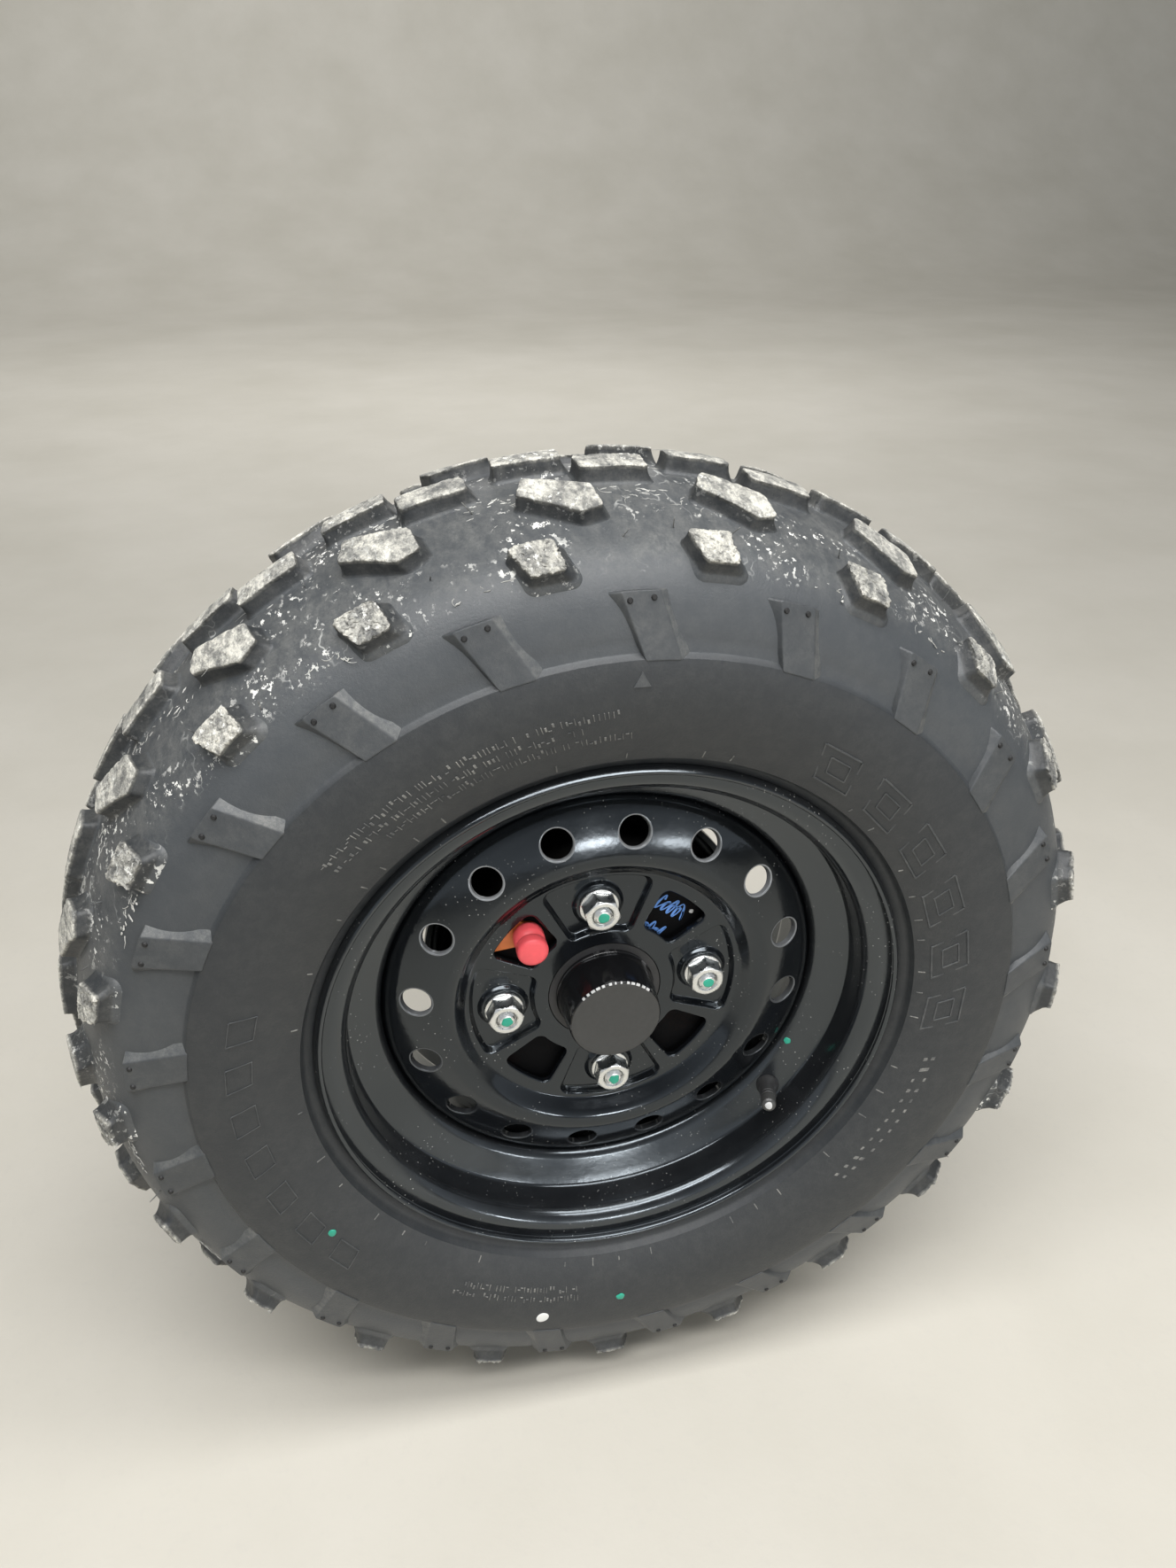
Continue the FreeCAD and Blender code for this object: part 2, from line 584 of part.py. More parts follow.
def tyre_section():
    """Closed section of the tyre: beads, sidewalls with a ridge, shoulders and crown."""
    side = TYRE_WIDTH / 2
    bead = RIM_WIDTH / 2
    curl = bead + FLANGE_CURL
    curl_radius = FLANGE_RADIUS - FLANGE_CURL

    def on_curl(degrees):
        turn = math.radians(degrees)
        return curl - FLANGE_CURL * math.cos(turn), curl_radius + FLANGE_CURL * math.sin(turn)

    bulge = (side - BEAD_INSET, FLANGE_RADIUS + BEAD_RISE)
    below_ridge = (side - RIDGE_INSET, RIDGE_RADIUS - RIDGE_RISE)
    ridge = (side - RIDGE_INSET - RIDGE_BEVEL, RIDGE_RADIUS)
    panel = (ridge[0] - RIDGE_DEPTH, RIDGE_RADIUS + PANEL_RISE)
    flank = (side - PANEL_INSET, wall_radius(PANEL_SHARE))
    shoulder = (side - SHOULDER_INSET, carcass_radius(side - SHOULDER_INSET))
    outer = [
        [(bead - TOE_WIDTH, BEAD_RADIUS), (bead - RIM_BEND, BEAD_RADIUS)],
        [(bead - RIM_BEND, BEAD_RADIUS), (bead, BEAD_RADIUS + RIM_BEND)],
        [(bead, BEAD_RADIUS + RIM_BEND), (bead, curl_radius)],
        [(bead, curl_radius), on_curl(22.5), on_curl(45)],
        [on_curl(45), bulge],
        [bulge, (below_ridge[0] - WALL / 20, wall_radius(SIDE_SHARE)), below_ridge],
        [below_ridge, ridge],
        [ridge, panel],
        [panel, flank, shoulder],
    ]
    toe = (bead - TOE_WIDTH, BEAD_RADIUS + TOE_HEIGHT)
    bead_top = (bead - TOE_HEIGHT, FLANGE_RADIUS + BEAD_RISE + PANEL_RISE)
    wide = (side - WALL, wall_radius(SIDE_SHARE) + WALL)
    corner = (flank[0] - PANEL_RISE, flank[1] - TREAD_WALL - PANEL_RISE)
    under = (shoulder[0] + PANEL_RISE, shoulder[1] - TREAD_WALL - PANEL_RISE)
    tread_edge = side - SHOULDER_INSET - TREAD_WALL
    tread = (tread_edge, carcass_radius(tread_edge) - TREAD_WALL)
    inner = [
        [(bead - TOE_WIDTH, BEAD_RADIUS), toe],
        [toe, bead_top],
        [bead_top, wide, corner],
        [corner, under, tread],
    ]
    outer_crown = [shoulder, (0.0, carcass_radius(0.0)), mirrored(shoulder)]
    inner_crown = [tread, (0.0, carcass_radius(0.0) - TREAD_WALL), mirrored(tread)]
    pieces = outer + [outer_crown] + other_side(outer) + inner + [inner_crown] + other_side(inner)
    return Part.Wire(Part.__sortEdges__([section_edge(piece) for piece in pieces]))


def mirrored(point):
    """The same place on the other side of the tyre's middle."""
    return (-point[0], point[1])


def other_side(pieces):
    """The same lines and arcs on the other side of the tyre's middle."""
    return [[mirrored(point) for point in piece] for piece in pieces]


def section_edge(piece):
    """Line through two or arc through three (from the middle, radius) places."""
    places = [section(MIDDLE - across, radius) for across, radius in piece]
    if len(places) == 2:
        return Part.LineSegment(*places).toShape()
    return Part.Arc(*places).toShape()


def tyre_lugs():
    """Every lug and sidewall fin of one pitch, on both halves of the tyre."""
    blocks = []
    for side, turn in ((1, 0.0), (-1, STAGGER)):
        for step, share, corners in LUG_ROWS:
            angle = FIN_ANGLE + step + turn
            across = TYRE_WIDTH / 2 * share
            lean = math.asin(across / CROWN_ARC)
            centre = around(tyre_radius(MIDDLE + across), angle, MIDDLE - across * side)
            out = around(math.cos(lean), angle, -math.sin(lean) * side)
            foot = [(u * LUG_SPREAD, w * LUG_SPREAD) for u, w in corners]
            blocks.append(lug(centre, out, angle, side, corners, foot, LUG_HEIGHT + LUG_FOOT))
        angle = FIN_ANGLE + turn
        lean = math.radians(90 - FIN_TILT)
        centre = around(RIDGE_RADIUS + FIN_RISE, angle, MIDDLE - (TYRE_WIDTH / 2 - FIN_INSET) * side)
        out = around(math.cos(lean), angle, -math.sin(lean) * side)
        blocks.append(lug(centre, out, angle, side, FIN_CORNERS, FIN_FOOT, FIN_DEPTH))
    return blocks


def lug(centre, out, angle, side, top, foot, depth):
    """One block on the tyre, its corners mirrored on the inboard half."""
    along = around(1.0, angle + 90, 0)
    if out.cross(along).y * side < 0:
        side = -side
    top = [(u, w * side) for u, w in top]
    foot = [(u, w * side) for u, w in foot]
    return block(centre, out, along, top, foot, depth)


def tyre():
    """Tyre with its lugs and sidewall fins."""
    blocks = []
    for shape in tyre_lugs():
        blocks += copies(PITCHES, shape)
    return turned(tyre_section()).fuse(blocks)


def knuckle():
    """Forged knuckle: spindle, brake flange, two ball joint bosses and the steering arm."""
    back = PANEL_BACK + KNUCKLE_FLANGE
    thread = WEB_PLANE - HUB_NOSE_REACH
    body = rod(SPINDLE_RADIUS, AXIS * thread, AXIS * SPINDLE_STEP)
    pieces = [
        rod(SPINDLE_THREAD_RADIUS, AXIS * (thread - SPINDLE_THREAD), AXIS * thread),
        rod(SPINDLE_ROOT_RADIUS, AXIS * SPINDLE_STEP, AXIS * back),
        rod(KNUCKLE_FLANGE_RADIUS, AXIS * PANEL_BACK, AXIS * back),
        Part.makeCone(KNUCKLE_BLOCK_RADIUS, KNUCKLE_NECK, KNUCKLE_WEB, AXIS * back, AXIS),
    ]
    holes = []
    bosses = (
        (LOWER_JOINT, BALL_BOSS_RADIUS, BALL_BOSS_HEIGHT, BALL_BORE_RADIUS),
        (UPPER_JOINT, BALL_BOSS_RADIUS, BALL_BOSS_HEIGHT, BALL_BORE_RADIUS),
        (ROD_JOINT, ROD_BOSS_RADIUS, ROD_BOSS_HEIGHT, ROD_BORE_RADIUS),
    )
    for joint, radius, height, bore in bosses:
        half = UP * (height / 2)
        boss = rod(radius, joint - half, joint + half)
        rims = [edge for edge in boss.Edges if edge.Curve.TypeId == "Part::GeomCircle"]
        pieces.append(boss.makeChamfer(BOSS_BEVEL, rims))
        holes.append(rod(bore, joint - half, joint + half))
    root = back + ARM_ROOT_DEPTH / 2
    inset = BALL_BORE_RADIUS + ARM_BORE_GAP + ARM_END_DEPTH / 2
    for joint in (LOWER_JOINT, UPPER_JOINT):
        middle = AXIS * max(root, joint.y - inset - ARM_ROOT_DEPTH)
        pieces.append(limb(middle, joint - AXIS * inset, ARM_ROOT_WIDTH, ARM_END_WIDTH))
    reach = (ROD_JOINT - AXIS * root).normalize() * (ROD_BORE_RADIUS + ARM_BORE_GAP)
    pieces.append(limb(AXIS * root, ROD_JOINT - reach, ARM_ROOT_WIDTH, ROD_ARM_WIDTH))
    bolt_hole = rod(PANEL_BOLT_RADIUS, around(PANEL_BOLT_CIRCLE, PANEL_BOLT_ANGLE, PANEL_BACK),
                    around(PANEL_BOLT_CIRCLE, PANEL_BOLT_ANGLE, back))
    return body.fuse(pieces).cut(holes + copies(PANEL_BOLTS, bolt_hole))


def limb(start, end, near_width, far_width):
    """Tapered arm of the forging with rounded edges, from the knuckle's middle to a boss."""
    along = (end - start).normalize()
    width = along.cross(AXIS).normalize()
    depth = along.cross(width)
    loops = []
    for place, across, thick in ((start, near_width, ARM_ROOT_DEPTH), (end, far_width, ARM_END_DEPTH)):
        loops.append(polygon([place + width * (u * across / 2) + depth * (w * thick / 2)
                              for u, w in ((-1, -1), (1, -1), (1, 1), (-1, 1))]))
    arm = Part.makeLoft(loops, True, True)
    long_edges = [edge for edge in arm.Edges if edge.Length > (end - start).Length * 0.9]
    return arm.makeFillet(ARM_ROUNDING, long_edges)


def brake_panel():
    """Pressed back plate of the brake, with a lip round the open edge of the drum and a ring
    pressed outwards inside it to stiffen it."""
    lip_radius = DRUM_OUTER + DRUM_RIB + MOVING_GAP + PANEL_THICKNESS / 2
    half = PANEL_THICKNESS / 2
    flat = PANEL_FACE + half
    plate = pressed_sheet([
        (PANEL_FACE - PANEL_LIP, lip_radius), (flat, lip_radius), (flat, SWAGE_OUTER),
        (flat + SWAGE_RISE, SWAGE_OUTER - SWAGE_SLOPE), (flat + SWAGE_RISE, SWAGE_INNER + SWAGE_SLOPE),
        (flat, SWAGE_INNER), (flat, SPINDLE_ROOT_RADIUS),
    ], [PANEL_BEND] + 4 * [SWAGE_BEND], PANEL_THICKNESS)
    hole = rod(PANEL_BOLT_RADIUS, around(PANEL_BOLT_CIRCLE, PANEL_BOLT_ANGLE, PANEL_FACE - 1),
               around(PANEL_BOLT_CIRCLE, PANEL_BOLT_ANGLE, PANEL_BACK))
    return plate.cut(copies(PANEL_BOLTS, hole))


def panel_bolts():
    """Hexagon bolts through the knuckle's flange into the back plate, heads at the back."""
    centre = around(PANEL_BOLT_CIRCLE, PANEL_BOLT_ANGLE, 0)
    end = PANEL_BACK + KNUCKLE_FLANGE
    shank = rod(PANEL_BOLT_RADIUS, centre + AXIS * PANEL_FACE, centre + AXIS * end)
    return copies(PANEL_BOLTS, shank.fuse(hexagon(centre + AXIS * end, PANEL_BOLT_FLATS, PANEL_BOLT_HEAD)))


def brake_cylinder():
    """Wheel cylinder's body on the back of the plate, with its hose inlet and bleed screw."""
    low = Vector(-CYLINDER_LENGTH / 2, 0, -CYLINDER_WIDTH / 2)
    body = Part.makeBox(CYLINDER_LENGTH, CYLINDER_HEIGHT, CYLINDER_WIDTH, low)
    body = body.makeFillet(CYLINDER_ROUNDING, [edge for edge in body.Edges if edge.CenterOfMass.y > 0.1])
    mouth = Vector(-FIXING_SPREAD, CYLINDER_HEIGHT + INLET_REACH, 0)
    inlet = rod(INLET_RADIUS, Vector(-FIXING_SPREAD, 0, 0), mouth)
    bore = rod(INLET_BORE_RADIUS, Vector(-FIXING_SPREAD, CYLINDER_HEIGHT / 2, 0), mouth)
    bleed = rod(BLEED_RADIUS, Vector(FIXING_SPREAD, CYLINDER_HEIGHT, 0),
                Vector(FIXING_SPREAD, CYLINDER_HEIGHT + BLEED_REACH, 0))
    body = body.fuse(inlet).cut(bore)
    for shape in (body, bleed):
        shape.rotate(Vector(0, 0, 0), OUTBOARD, CYLINDER_ANGLE - 90)
        shape.translate(around(CYLINDER_CIRCLE, CYLINDER_ANGLE, PANEL_BACK))
    return body, bleed


def pieces():
    """Every piece by name."""
    stem, valve_cap = valve()
    cylinder, bleed = brake_cylinder()
    named = {
        "tyre": tyre(), "rim_barrel": rim_barrel(), "wheel_disc": wheel_disc(),
        "valve_stem": stem, "valve_cap": valve_cap, "hub": hub(), "brake_drum": brake_drum(),
        "centre_cap": centre_cap(), "drum_plug": drum_plug(), "plug_tab": plug_tab(),
        "knuckle": knuckle(), "brake_panel": brake_panel(), "brake_cylinder": cylinder,
        "bleed_screw": bleed,
    }
    for name, shapes in (("stud", wheel_studs()), ("wheel_nut", wheel_nuts()), ("panel_bolt", panel_bolts())):
        for index, shape in enumerate(shapes, start=1):
            named["%s_%d" % (name, index)] = shape
    return named


os.makedirs("parts", exist_ok=True)
for node, shape in pieces().items():
    solid = shape.Solids[0]
    solid.translate(-LOWER_JOINT)
    print(node, len(shape.Solids), solid.isValid(), round(solid.Volume / 1000, 1), "cm3")
    solid.exportStep("parts/%s.step" % node)
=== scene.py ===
"""Dresses the quad bike's front wheel: finish, detailed meshes, floor, light and camera.

Shapes are worked out in millimetres round the wheel: y = 0 is the rim's outer edge and +Y runs
inboard, and an angle is in degrees from +X towards +Z. place() turns that into the row frame.
"""
import json
import math
import random

import bmesh
import bpy
import numpy as np
from mathutils import Matrix, Vector, geometry, kdtree, noise


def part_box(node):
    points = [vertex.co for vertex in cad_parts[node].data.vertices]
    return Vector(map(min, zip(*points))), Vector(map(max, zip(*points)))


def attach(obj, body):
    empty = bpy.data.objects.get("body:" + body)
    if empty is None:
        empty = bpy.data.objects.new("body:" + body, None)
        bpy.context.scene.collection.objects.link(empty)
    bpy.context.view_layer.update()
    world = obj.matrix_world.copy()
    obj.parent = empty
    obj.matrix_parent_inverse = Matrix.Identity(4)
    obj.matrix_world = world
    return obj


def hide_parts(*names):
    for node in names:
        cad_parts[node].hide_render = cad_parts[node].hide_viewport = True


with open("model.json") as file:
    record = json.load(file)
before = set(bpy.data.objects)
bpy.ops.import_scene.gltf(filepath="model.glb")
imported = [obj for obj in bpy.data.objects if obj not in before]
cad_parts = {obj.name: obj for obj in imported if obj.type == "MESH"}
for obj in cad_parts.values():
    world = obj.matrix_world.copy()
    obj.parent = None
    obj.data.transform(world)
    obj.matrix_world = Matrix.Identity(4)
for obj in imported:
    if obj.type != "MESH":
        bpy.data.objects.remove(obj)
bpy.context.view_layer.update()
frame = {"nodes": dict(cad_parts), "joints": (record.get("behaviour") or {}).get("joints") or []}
noise.seed_set(7)

# The wheel's place in the row frame, in metres
AXLE = Vector(frame["joints"][0]["pos_m"])
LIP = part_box("rim_barrel")[0].y
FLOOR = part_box("tyre")[0].z
MM = 0.001

# Rim and tyre sizes in millimetres
RIM_SHEET = 2.5
FLANGE_RADIUS = 154.0
FLANGE_CURL = 7.0
BEAD_RADIUS = 139.7
LIP_REACH = 8.15
MIDDLE = 78.0
TYRE_RADIUS = 276.5
TYRE_WIDTH = 178.0
CROWN_ARC = 135.4
LUG_HEIGHT = 8.5
RIDGE_RADIUS = 211.0
PITCHES = 21
PITCH = 360.0 / PITCHES
FIN_ANGLE = 88.4
TYRE_STEPS = 252
BEAD_SEAT = 22.0
WELL_DEPTH = 18.7
WELL_START = 39.0
WELL_END = 84.0
WELL_SLOPE = 17.0
RIM_BEND = 4.0
WELL_BEND = 7.0
SEAT_BEND = 8.0
# The rolled outboard lip: y and height over the flange's middle of its edge and its crest
LIP_EDGE = (1.3, -2.1)
LIP_CREST = (4.5, 0.25)
LIP_BENDS = [2.6, 1.8]
LIP_ROUND = 0.6
FAR_LIP_ROUND = 0.75
RIM_STEPS = 264
RIM_SPACING = 5.0
CROWN_HALF = 60.0

# Disc sizes in millimetres
DISC_SHEET = 3.2
DISC_BENDS = [9.0, 8.0, 4.0]
DISC_EDGE = 38.0
DISC_SKIRT = 18.0
DISC_CREST = 26.5
CREST_RADIUS = 85.0
WEB_PLANE = 36.5
SECTOR_RADIUS = 76.0
DISC_BORE = 31.0
VENTS = 16
VENT_RADIUS = 8.0
VENT_CIRCLE = 101.6
VENT_ANGLE = 82.2
POCKET_DEPTH = 4.0
POCKET_INNER = 38.5
POCKET_OUTER = 73.0
POCKET_HALF_ANGLE = 24.5
WINDOW_INNER = 43.0
WINDOW_OUTER = 68.0
WINDOW_HALF_ANGLE = 13.5
BOLTS = 4
BOLT_CIRCLE = 55.0
BOLT_ANGLE = 3.4


def place(points):
    """Wheel millimetres, as an array of (x, y, z) rows, to row frame metres."""
    return np.asarray(points, float) * MM + np.array([AXLE.x, LIP, AXLE.z])


def around(radius, angle, y):
    """Places at a radius and an angle round the axle, as (x, y, z) rows."""
    turn = np.radians(angle)
    radius, turn, y = np.broadcast_arrays(radius, turn, y)
    return np.stack([radius * np.cos(turn), y, radius * np.sin(turn)], -1)


def share_between(value, start, end):
    """How far a value has come from one level to another, from 0 to 1."""
    return np.clip((value - start) / (end - start), 0, 1)


def put_in(name, data):
    """Puts a mesh, a light or a camera in the scene."""
    thing = bpy.data.objects.new(name, data)
    bpy.context.scene.collection.objects.link(thing)
    return thing


def new_mesh(name, points, faces, smooth=True, values=None, normals=None):
    """Makes an object from wheel millimetres, with named values on its points and, where they are
    given, its own corner normals."""
    mesh = bpy.data.meshes.new(name)
    mesh.from_pydata([tuple(p) for p in place(points)], [], faces)
    if normals is None:
        mesh.validate()
    mesh.polygons.foreach_set("use_smooth", [smooth] * len(mesh.polygons))
    for key, data in (values or {}).items():
        layer = mesh.attributes.new(key, "FLOAT", "POINT")
        layer.data.foreach_set("value", np.asarray(data, np.float32))
    if normals is not None:
        mesh.normals_split_custom_set(normals)
    return put_in(name, mesh)


def dress(piece, material, body="wheel", stands_for=()):
    """Gives a piece its material and body, and hides the CAD nodes that it stands for."""
    piece.data.materials.clear()
    piece.data.materials.append(material)
    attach(piece, body)
    if stands_for:
        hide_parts(*stands_for)
    return piece


def grid_faces(rows, columns, close_rows=False, close_columns=True, first=0):
    """Quads between the points of a grid kept row by row."""
    faces = []
    for r in range(rows if close_rows else rows - 1):
        for c in range(columns if close_columns else columns - 1):
            r2, c2 = (r + 1) % rows, (c + 1) % columns
            faces.append((first + r * columns + c, first + r * columns + c2,
                          first + r2 * columns + c2, first + r2 * columns + c))
    return faces


def lathe(name, profile, steps, values=None):
    """Turns a closed (y, radius) outline round the axle."""
    profile = np.asarray(profile, float)
    angles = np.arange(steps) * 360.0 / steps
    points = around(profile[:, None, 1], angles[None, :], profile[:, None, 0]).reshape(-1, 3)
    kept = {key: np.repeat(data, steps) for key, data in (values or {}).items()}
    return new_mesh(name, points, grid_faces(len(profile), steps, close_rows=True), values=kept)


def three_point_arc(a, b, c, count):
    """Points along the arc through three (y, radius) places."""
    a, b, c = (np.asarray(p, float) for p in (a, b, c))
    d = 2 * (a[0] * (b[1] - c[1]) + b[0] * (c[1] - a[1]) + c[0] * (a[1] - b[1]))
    sq = [p @ p for p in (a, b, c)]
    centre = np.array([
        (sq[0] * (b[1] - c[1]) + sq[1] * (c[1] - a[1]) + sq[2] * (a[1] - b[1])) / d,
        (sq[0] * (c[0] - b[0]) + sq[1] * (a[0] - c[0]) + sq[2] * (b[0] - a[0])) / d,
    ])
    turns = np.unwrap([math.atan2(p[1] - centre[1], p[0] - centre[0]) for p in (a, b, c)])
    radius = np.hypot(*(a - centre))
    t = np.linspace(turns[0], turns[2], count)
    return np.stack([centre[0] + radius * np.cos(t), centre[1] + radius * np.sin(t)], -1)


def corner_arc(before, corner, after, bend, step=None, count=5, longest=math.inf):
    """An arc that rounds a corner: of the given radius, or less where it would reach too far."""
    u = (before - corner) / np.hypot(*(before - corner))
    v = (after - corner) / np.hypot(*(after - corner))
    half = math.acos(np.clip(u @ v, -1, 1)) / 2
    reach = min(bend / math.tan(half), longest)
    bend = reach * math.tan(half)
    middle = (u + v) / np.hypot(*(u + v)) * (bend / math.sin(half) - bend)
    if step:
        count = max(4, int(bend * (math.pi - 2 * half) / step) + 2)
    return three_point_arc(corner + u * reach, corner + middle, corner + v * reach, count)


def corner_triples(corners):
    """Each corner of a closed outline, between the one before it and the one after it."""
    return zip(np.roll(corners, 1, axis=0), corners, np.roll(corners, -1, axis=0))


def rounded_line(points, bends, step=0.7):
    """An open outline with an arc of the given radius at each inner corner."""
    points = [np.asarray(p, float) for p in points]
    out = [points[0]]
    for k, bend in enumerate(bends):
        out.extend(corner_arc(*points[k:k + 3], bend, step))
    out.append(points[-1])
    return np.array(out)


def tidy_mesh(piece, sharp=32.0):
    """Faces outward, smooth shading, and sharp edges where the surface turns by more than an angle."""
    mesh = piece.data
    form = bmesh.new()
    form.from_mesh(mesh)
    bmesh.ops.recalc_face_normals(form, faces=form.faces)
    form.to_mesh(mesh)
    form.free()
    mesh.polygons.foreach_set("use_smooth", [True] * len(mesh.polygons))
    mesh.set_sharp_from_angle(angle=math.radians(sharp))
    return piece


def write_uv(piece, vertex_uv):
    """Surface coordinates in metres from one (u, v) per point, mended where a face crosses the seam."""
    mesh = piece.data
    lap = vertex_uv[:, 0].max() + 1e-9
    layer = mesh.uv_layers.new(name="surface")
    index = np.empty(len(mesh.loops), np.int32)
    mesh.loops.foreach_get("vertex_index", index)
    uv = vertex_uv[index].copy()
    start = np.empty(len(mesh.polygons), np.int32)
    size = np.empty(len(mesh.polygons), np.int32)
    mesh.polygons.foreach_get("loop_start", start)
    mesh.polygons.foreach_get("loop_total", size)
    owner = np.repeat(np.arange(len(start)), size)
    highest = np.full(len(start), -1e9)
    np.maximum.at(highest, owner, uv[:, 0])
    low = uv[:, 0] < highest[owner] - lap / 2
    uv[low, 0] += lap
    layer.data.foreach_set("uv", uv.astype(np.float32).ravel())
    return piece


def moved_line(points, distance):
    """Moves an open (y, radius) outline sideways, to the left of its direction."""
    points = np.asarray(points, float)
    steps = np.diff(points, axis=0)
    steps /= np.hypot(*steps.T)[:, None]
    before = np.vstack([steps[:1], steps])
    after = np.vstack([steps, steps[-1:]])
    share = distance / (1 + (before * after).sum(1))
    both = before + after
    return points + np.stack([-both[:, 1] * share, both[:, 0] * share], -1)


def sheet_outline(points, bends, thickness, step=0.7):
    """The two sides of a bent sheet along a (y, radius) centre line."""
    points = np.asarray(points, float)
    sides = []
    for half in (thickness / 2, -thickness / 2):
        radii = []
        for k, bend in enumerate(bends, start=1):
            a, b, c = points[k - 1:k + 2]
            left = (b[0] - a[0]) * (c[1] - b[1]) - (b[1] - a[1]) * (c[0] - b[0]) > 0
            radii.append(bend - half if left else bend + half)
        sides.append(rounded_line(moved_line(points, half), radii, step))
    return sides


def filled_in(line, longest):
    """Adds points to an open line so that no step is longer than the given length."""
    out = [line[0]]
    for a, b in zip(line[:-1], line[1:]):
        count = max(1, int(math.ceil(np.hypot(*(b - a)) / longest)))
        out.extend(a + (b - a) * t for t in np.linspace(0, 1, count + 1)[1:])
    return np.array(out)


# Tyre

def tip_radius(across):
    """Radius of the lugs' tips at a distance from the tyre's middle."""
    return TYRE_RADIUS - CROWN_ARC + np.sqrt(CROWN_ARC ** 2 - np.asarray(across, float) ** 2)


def crown_place(angle, reach, height, side=1):
    """A place on the crown: reach is measured along its arc from the middle, height from the
    carcass between the lugs."""
    turn = np.asarray(reach, float) / CROWN_ARC
    arm = CROWN_ARC + np.asarray(height, float) - LUG_HEIGHT
    radius = TYRE_RADIUS - CROWN_ARC + arm * np.cos(turn)
    return around(radius, angle, MIDDLE - side * arm * np.sin(turn))


def sidewall_line():
    """The tyre's outer line from its bead to its shoulder, as (across, radius)."""
    side = TYRE_WIDTH / 2
    bead = MIDDLE - LIP_REACH
    curl = bead + FLANGE_CURL
    curl_radius = FLANGE_RADIUS - FLANGE_CURL
    turns = np.radians(np.linspace(0, 45, 8))
    flange = np.stack([curl - FLANGE_CURL * np.cos(turns), curl_radius + FLANGE_CURL * np.sin(turns)], -1)
    bulge = np.array([side - 9.0, FLANGE_RADIUS + 6.0])
    below = np.array([side - 0.5, RIDGE_RADIUS - 3.0])
    belly = three_point_arc(bulge, (side - 0.85, 183.0), below, 26)
    ridge = rounded_line([below, (side - 1.2, RIDGE_RADIUS + 0.2), (side - 4.1, RIDGE_RADIUS + 2.0),
                          (side - 5.3, RIDGE_RADIUS + 6.0)], [0.9, 1.6], 0.35)
    shoulder = (CROWN_HALF, tip_radius(CROWN_HALF) - LUG_HEIGHT)
    flank = three_point_arc(ridge[-1], (side - 11.0, 236.5), shoulder, 22)
    start = rounded_line([flange[-1], (curl - 1.2, curl_radius + FLANGE_CURL + 4.6), bulge], [4.0], 0.6)
    return np.vstack([[(bead - 17.0, BEAD_RADIUS), (bead - 4.0, BEAD_RADIUS), (bead, BEAD_RADIUS + 4.0)],
                      flange, start[1:], belly[1:], ridge[1:], flank[1:]])


SIDEWALL = sidewall_line()


def sidewall_y(radius):
    """y of the outboard sidewall's surface at a radius between the rim and the shoulder."""
    part = SIDEWALL[14:]
    order = np.argsort(part[:, 1])
    return MIDDLE - np.interp(radius, part[order, 1], part[order, 0])


def tyre_carcass():
    """Carcass with beads, sidewalls, a ridge on each shoulder and the crown under the lugs."""
    crown = np.linspace(CROWN_HALF, -CROWN_HALF, 41)[1:-1]
    outer = np.vstack([SIDEWALL, np.stack([crown, tip_radius(crown) - LUG_HEIGHT], -1),
                       SIDEWALL[::-1] * (-1, 1)])
    inner = np.array([(52.9, 143.7), (65.9, 162.0), (79.0, 180.0), (82.0, 197.0), (78.0, 216.0),
                      (66.0, 238.0), (40.0, 252.0), (0.0, 256.0)])
    inner = np.vstack([inner, inner[-2::-1] * (-1, 1)])
    profile = np.vstack([outer, inner[::-1]])
    across, radius = profile.T
    length = np.concatenate([[0], np.cumsum(np.hypot(*np.diff(profile, axis=0).T))])
    tread = share_between(radius, 243.0, 252.0)
    tread[len(outer):] = 0
    # Painted light: from the ridge outwards the rubber is drawn greyer, standing in for the light that falls
    # on the upward-facing panels and shoulder.
    piece = lathe("tyre_carcass", np.stack([MIDDLE - across, radius], -1), TYRE_STEPS,
                  values={"dust_and_highlight": 0.015 + 0.06 * tread, "tread": tread,
                          "painted_light": share_between(radius, RIDGE_RADIUS, RIDGE_RADIUS + 3.0)})
    turn = np.tile(np.arange(TYRE_STEPS) * 2 * math.pi / TYRE_STEPS, len(profile))
    tidy_mesh(piece, 40)
    return write_uv(piece, np.stack([turn * 0.25, np.repeat(length, TYRE_STEPS) * MM], -1))


def outward(line):
    """Normals of a closed flat outline, to the right of its direction."""
    ahead = np.roll(line, -1, axis=0) - np.roll(line, 1, axis=0)
    ahead /= np.hypot(*ahead.T)[:, None]
    return np.stack([ahead[:, 1], -ahead[:, 0]], -1)


def rounded_polygon(corners, bend, step=1.6):
    """Closed outline through rounded corners, evenly sampled, with outward normals."""
    corners = np.asarray(corners, float)
    u, w = corners.T
    if np.sum(u * np.roll(w, -1) - w * np.roll(u, -1)) < 0:
        corners = corners[::-1]
    line = []
    for before, corner, after in corner_triples(corners):
        shorter = min(np.hypot(*(before - corner)), np.hypot(*(after - corner)))
        line.extend(corner_arc(before, corner, after, bend, step / 2, longest=0.45 * shorter))
    line.append(line[0])
    line = filled_in(np.array(line), step)[:-1]
    return line, outward(line)


def inner_rings(line, height, shares):
    """Rings inside a flat outline, each a share of its size, as rows of (u, w, height)."""
    centre = line.mean(0)
    return [np.column_stack([centre + (line - centre) * share, np.full(len(line), height)])
            for share in shares]


def block_shape(corners, bend, levels, rings, step=1.6):
    """A raised block: rows of (u, w, height) from its flared foot to the middle of its top.
    levels are (height, how far the outline is moved out); rings are shares of the outline."""
    line, normal = rounded_polygon(corners, bend, step)
    rows = [np.column_stack([line + normal * out, np.full(len(line), height)]) for height, out in levels]
    top_height, top_out = levels[-1]
    return np.array(rows + inner_rings(line + normal * top_out, top_height, rings))


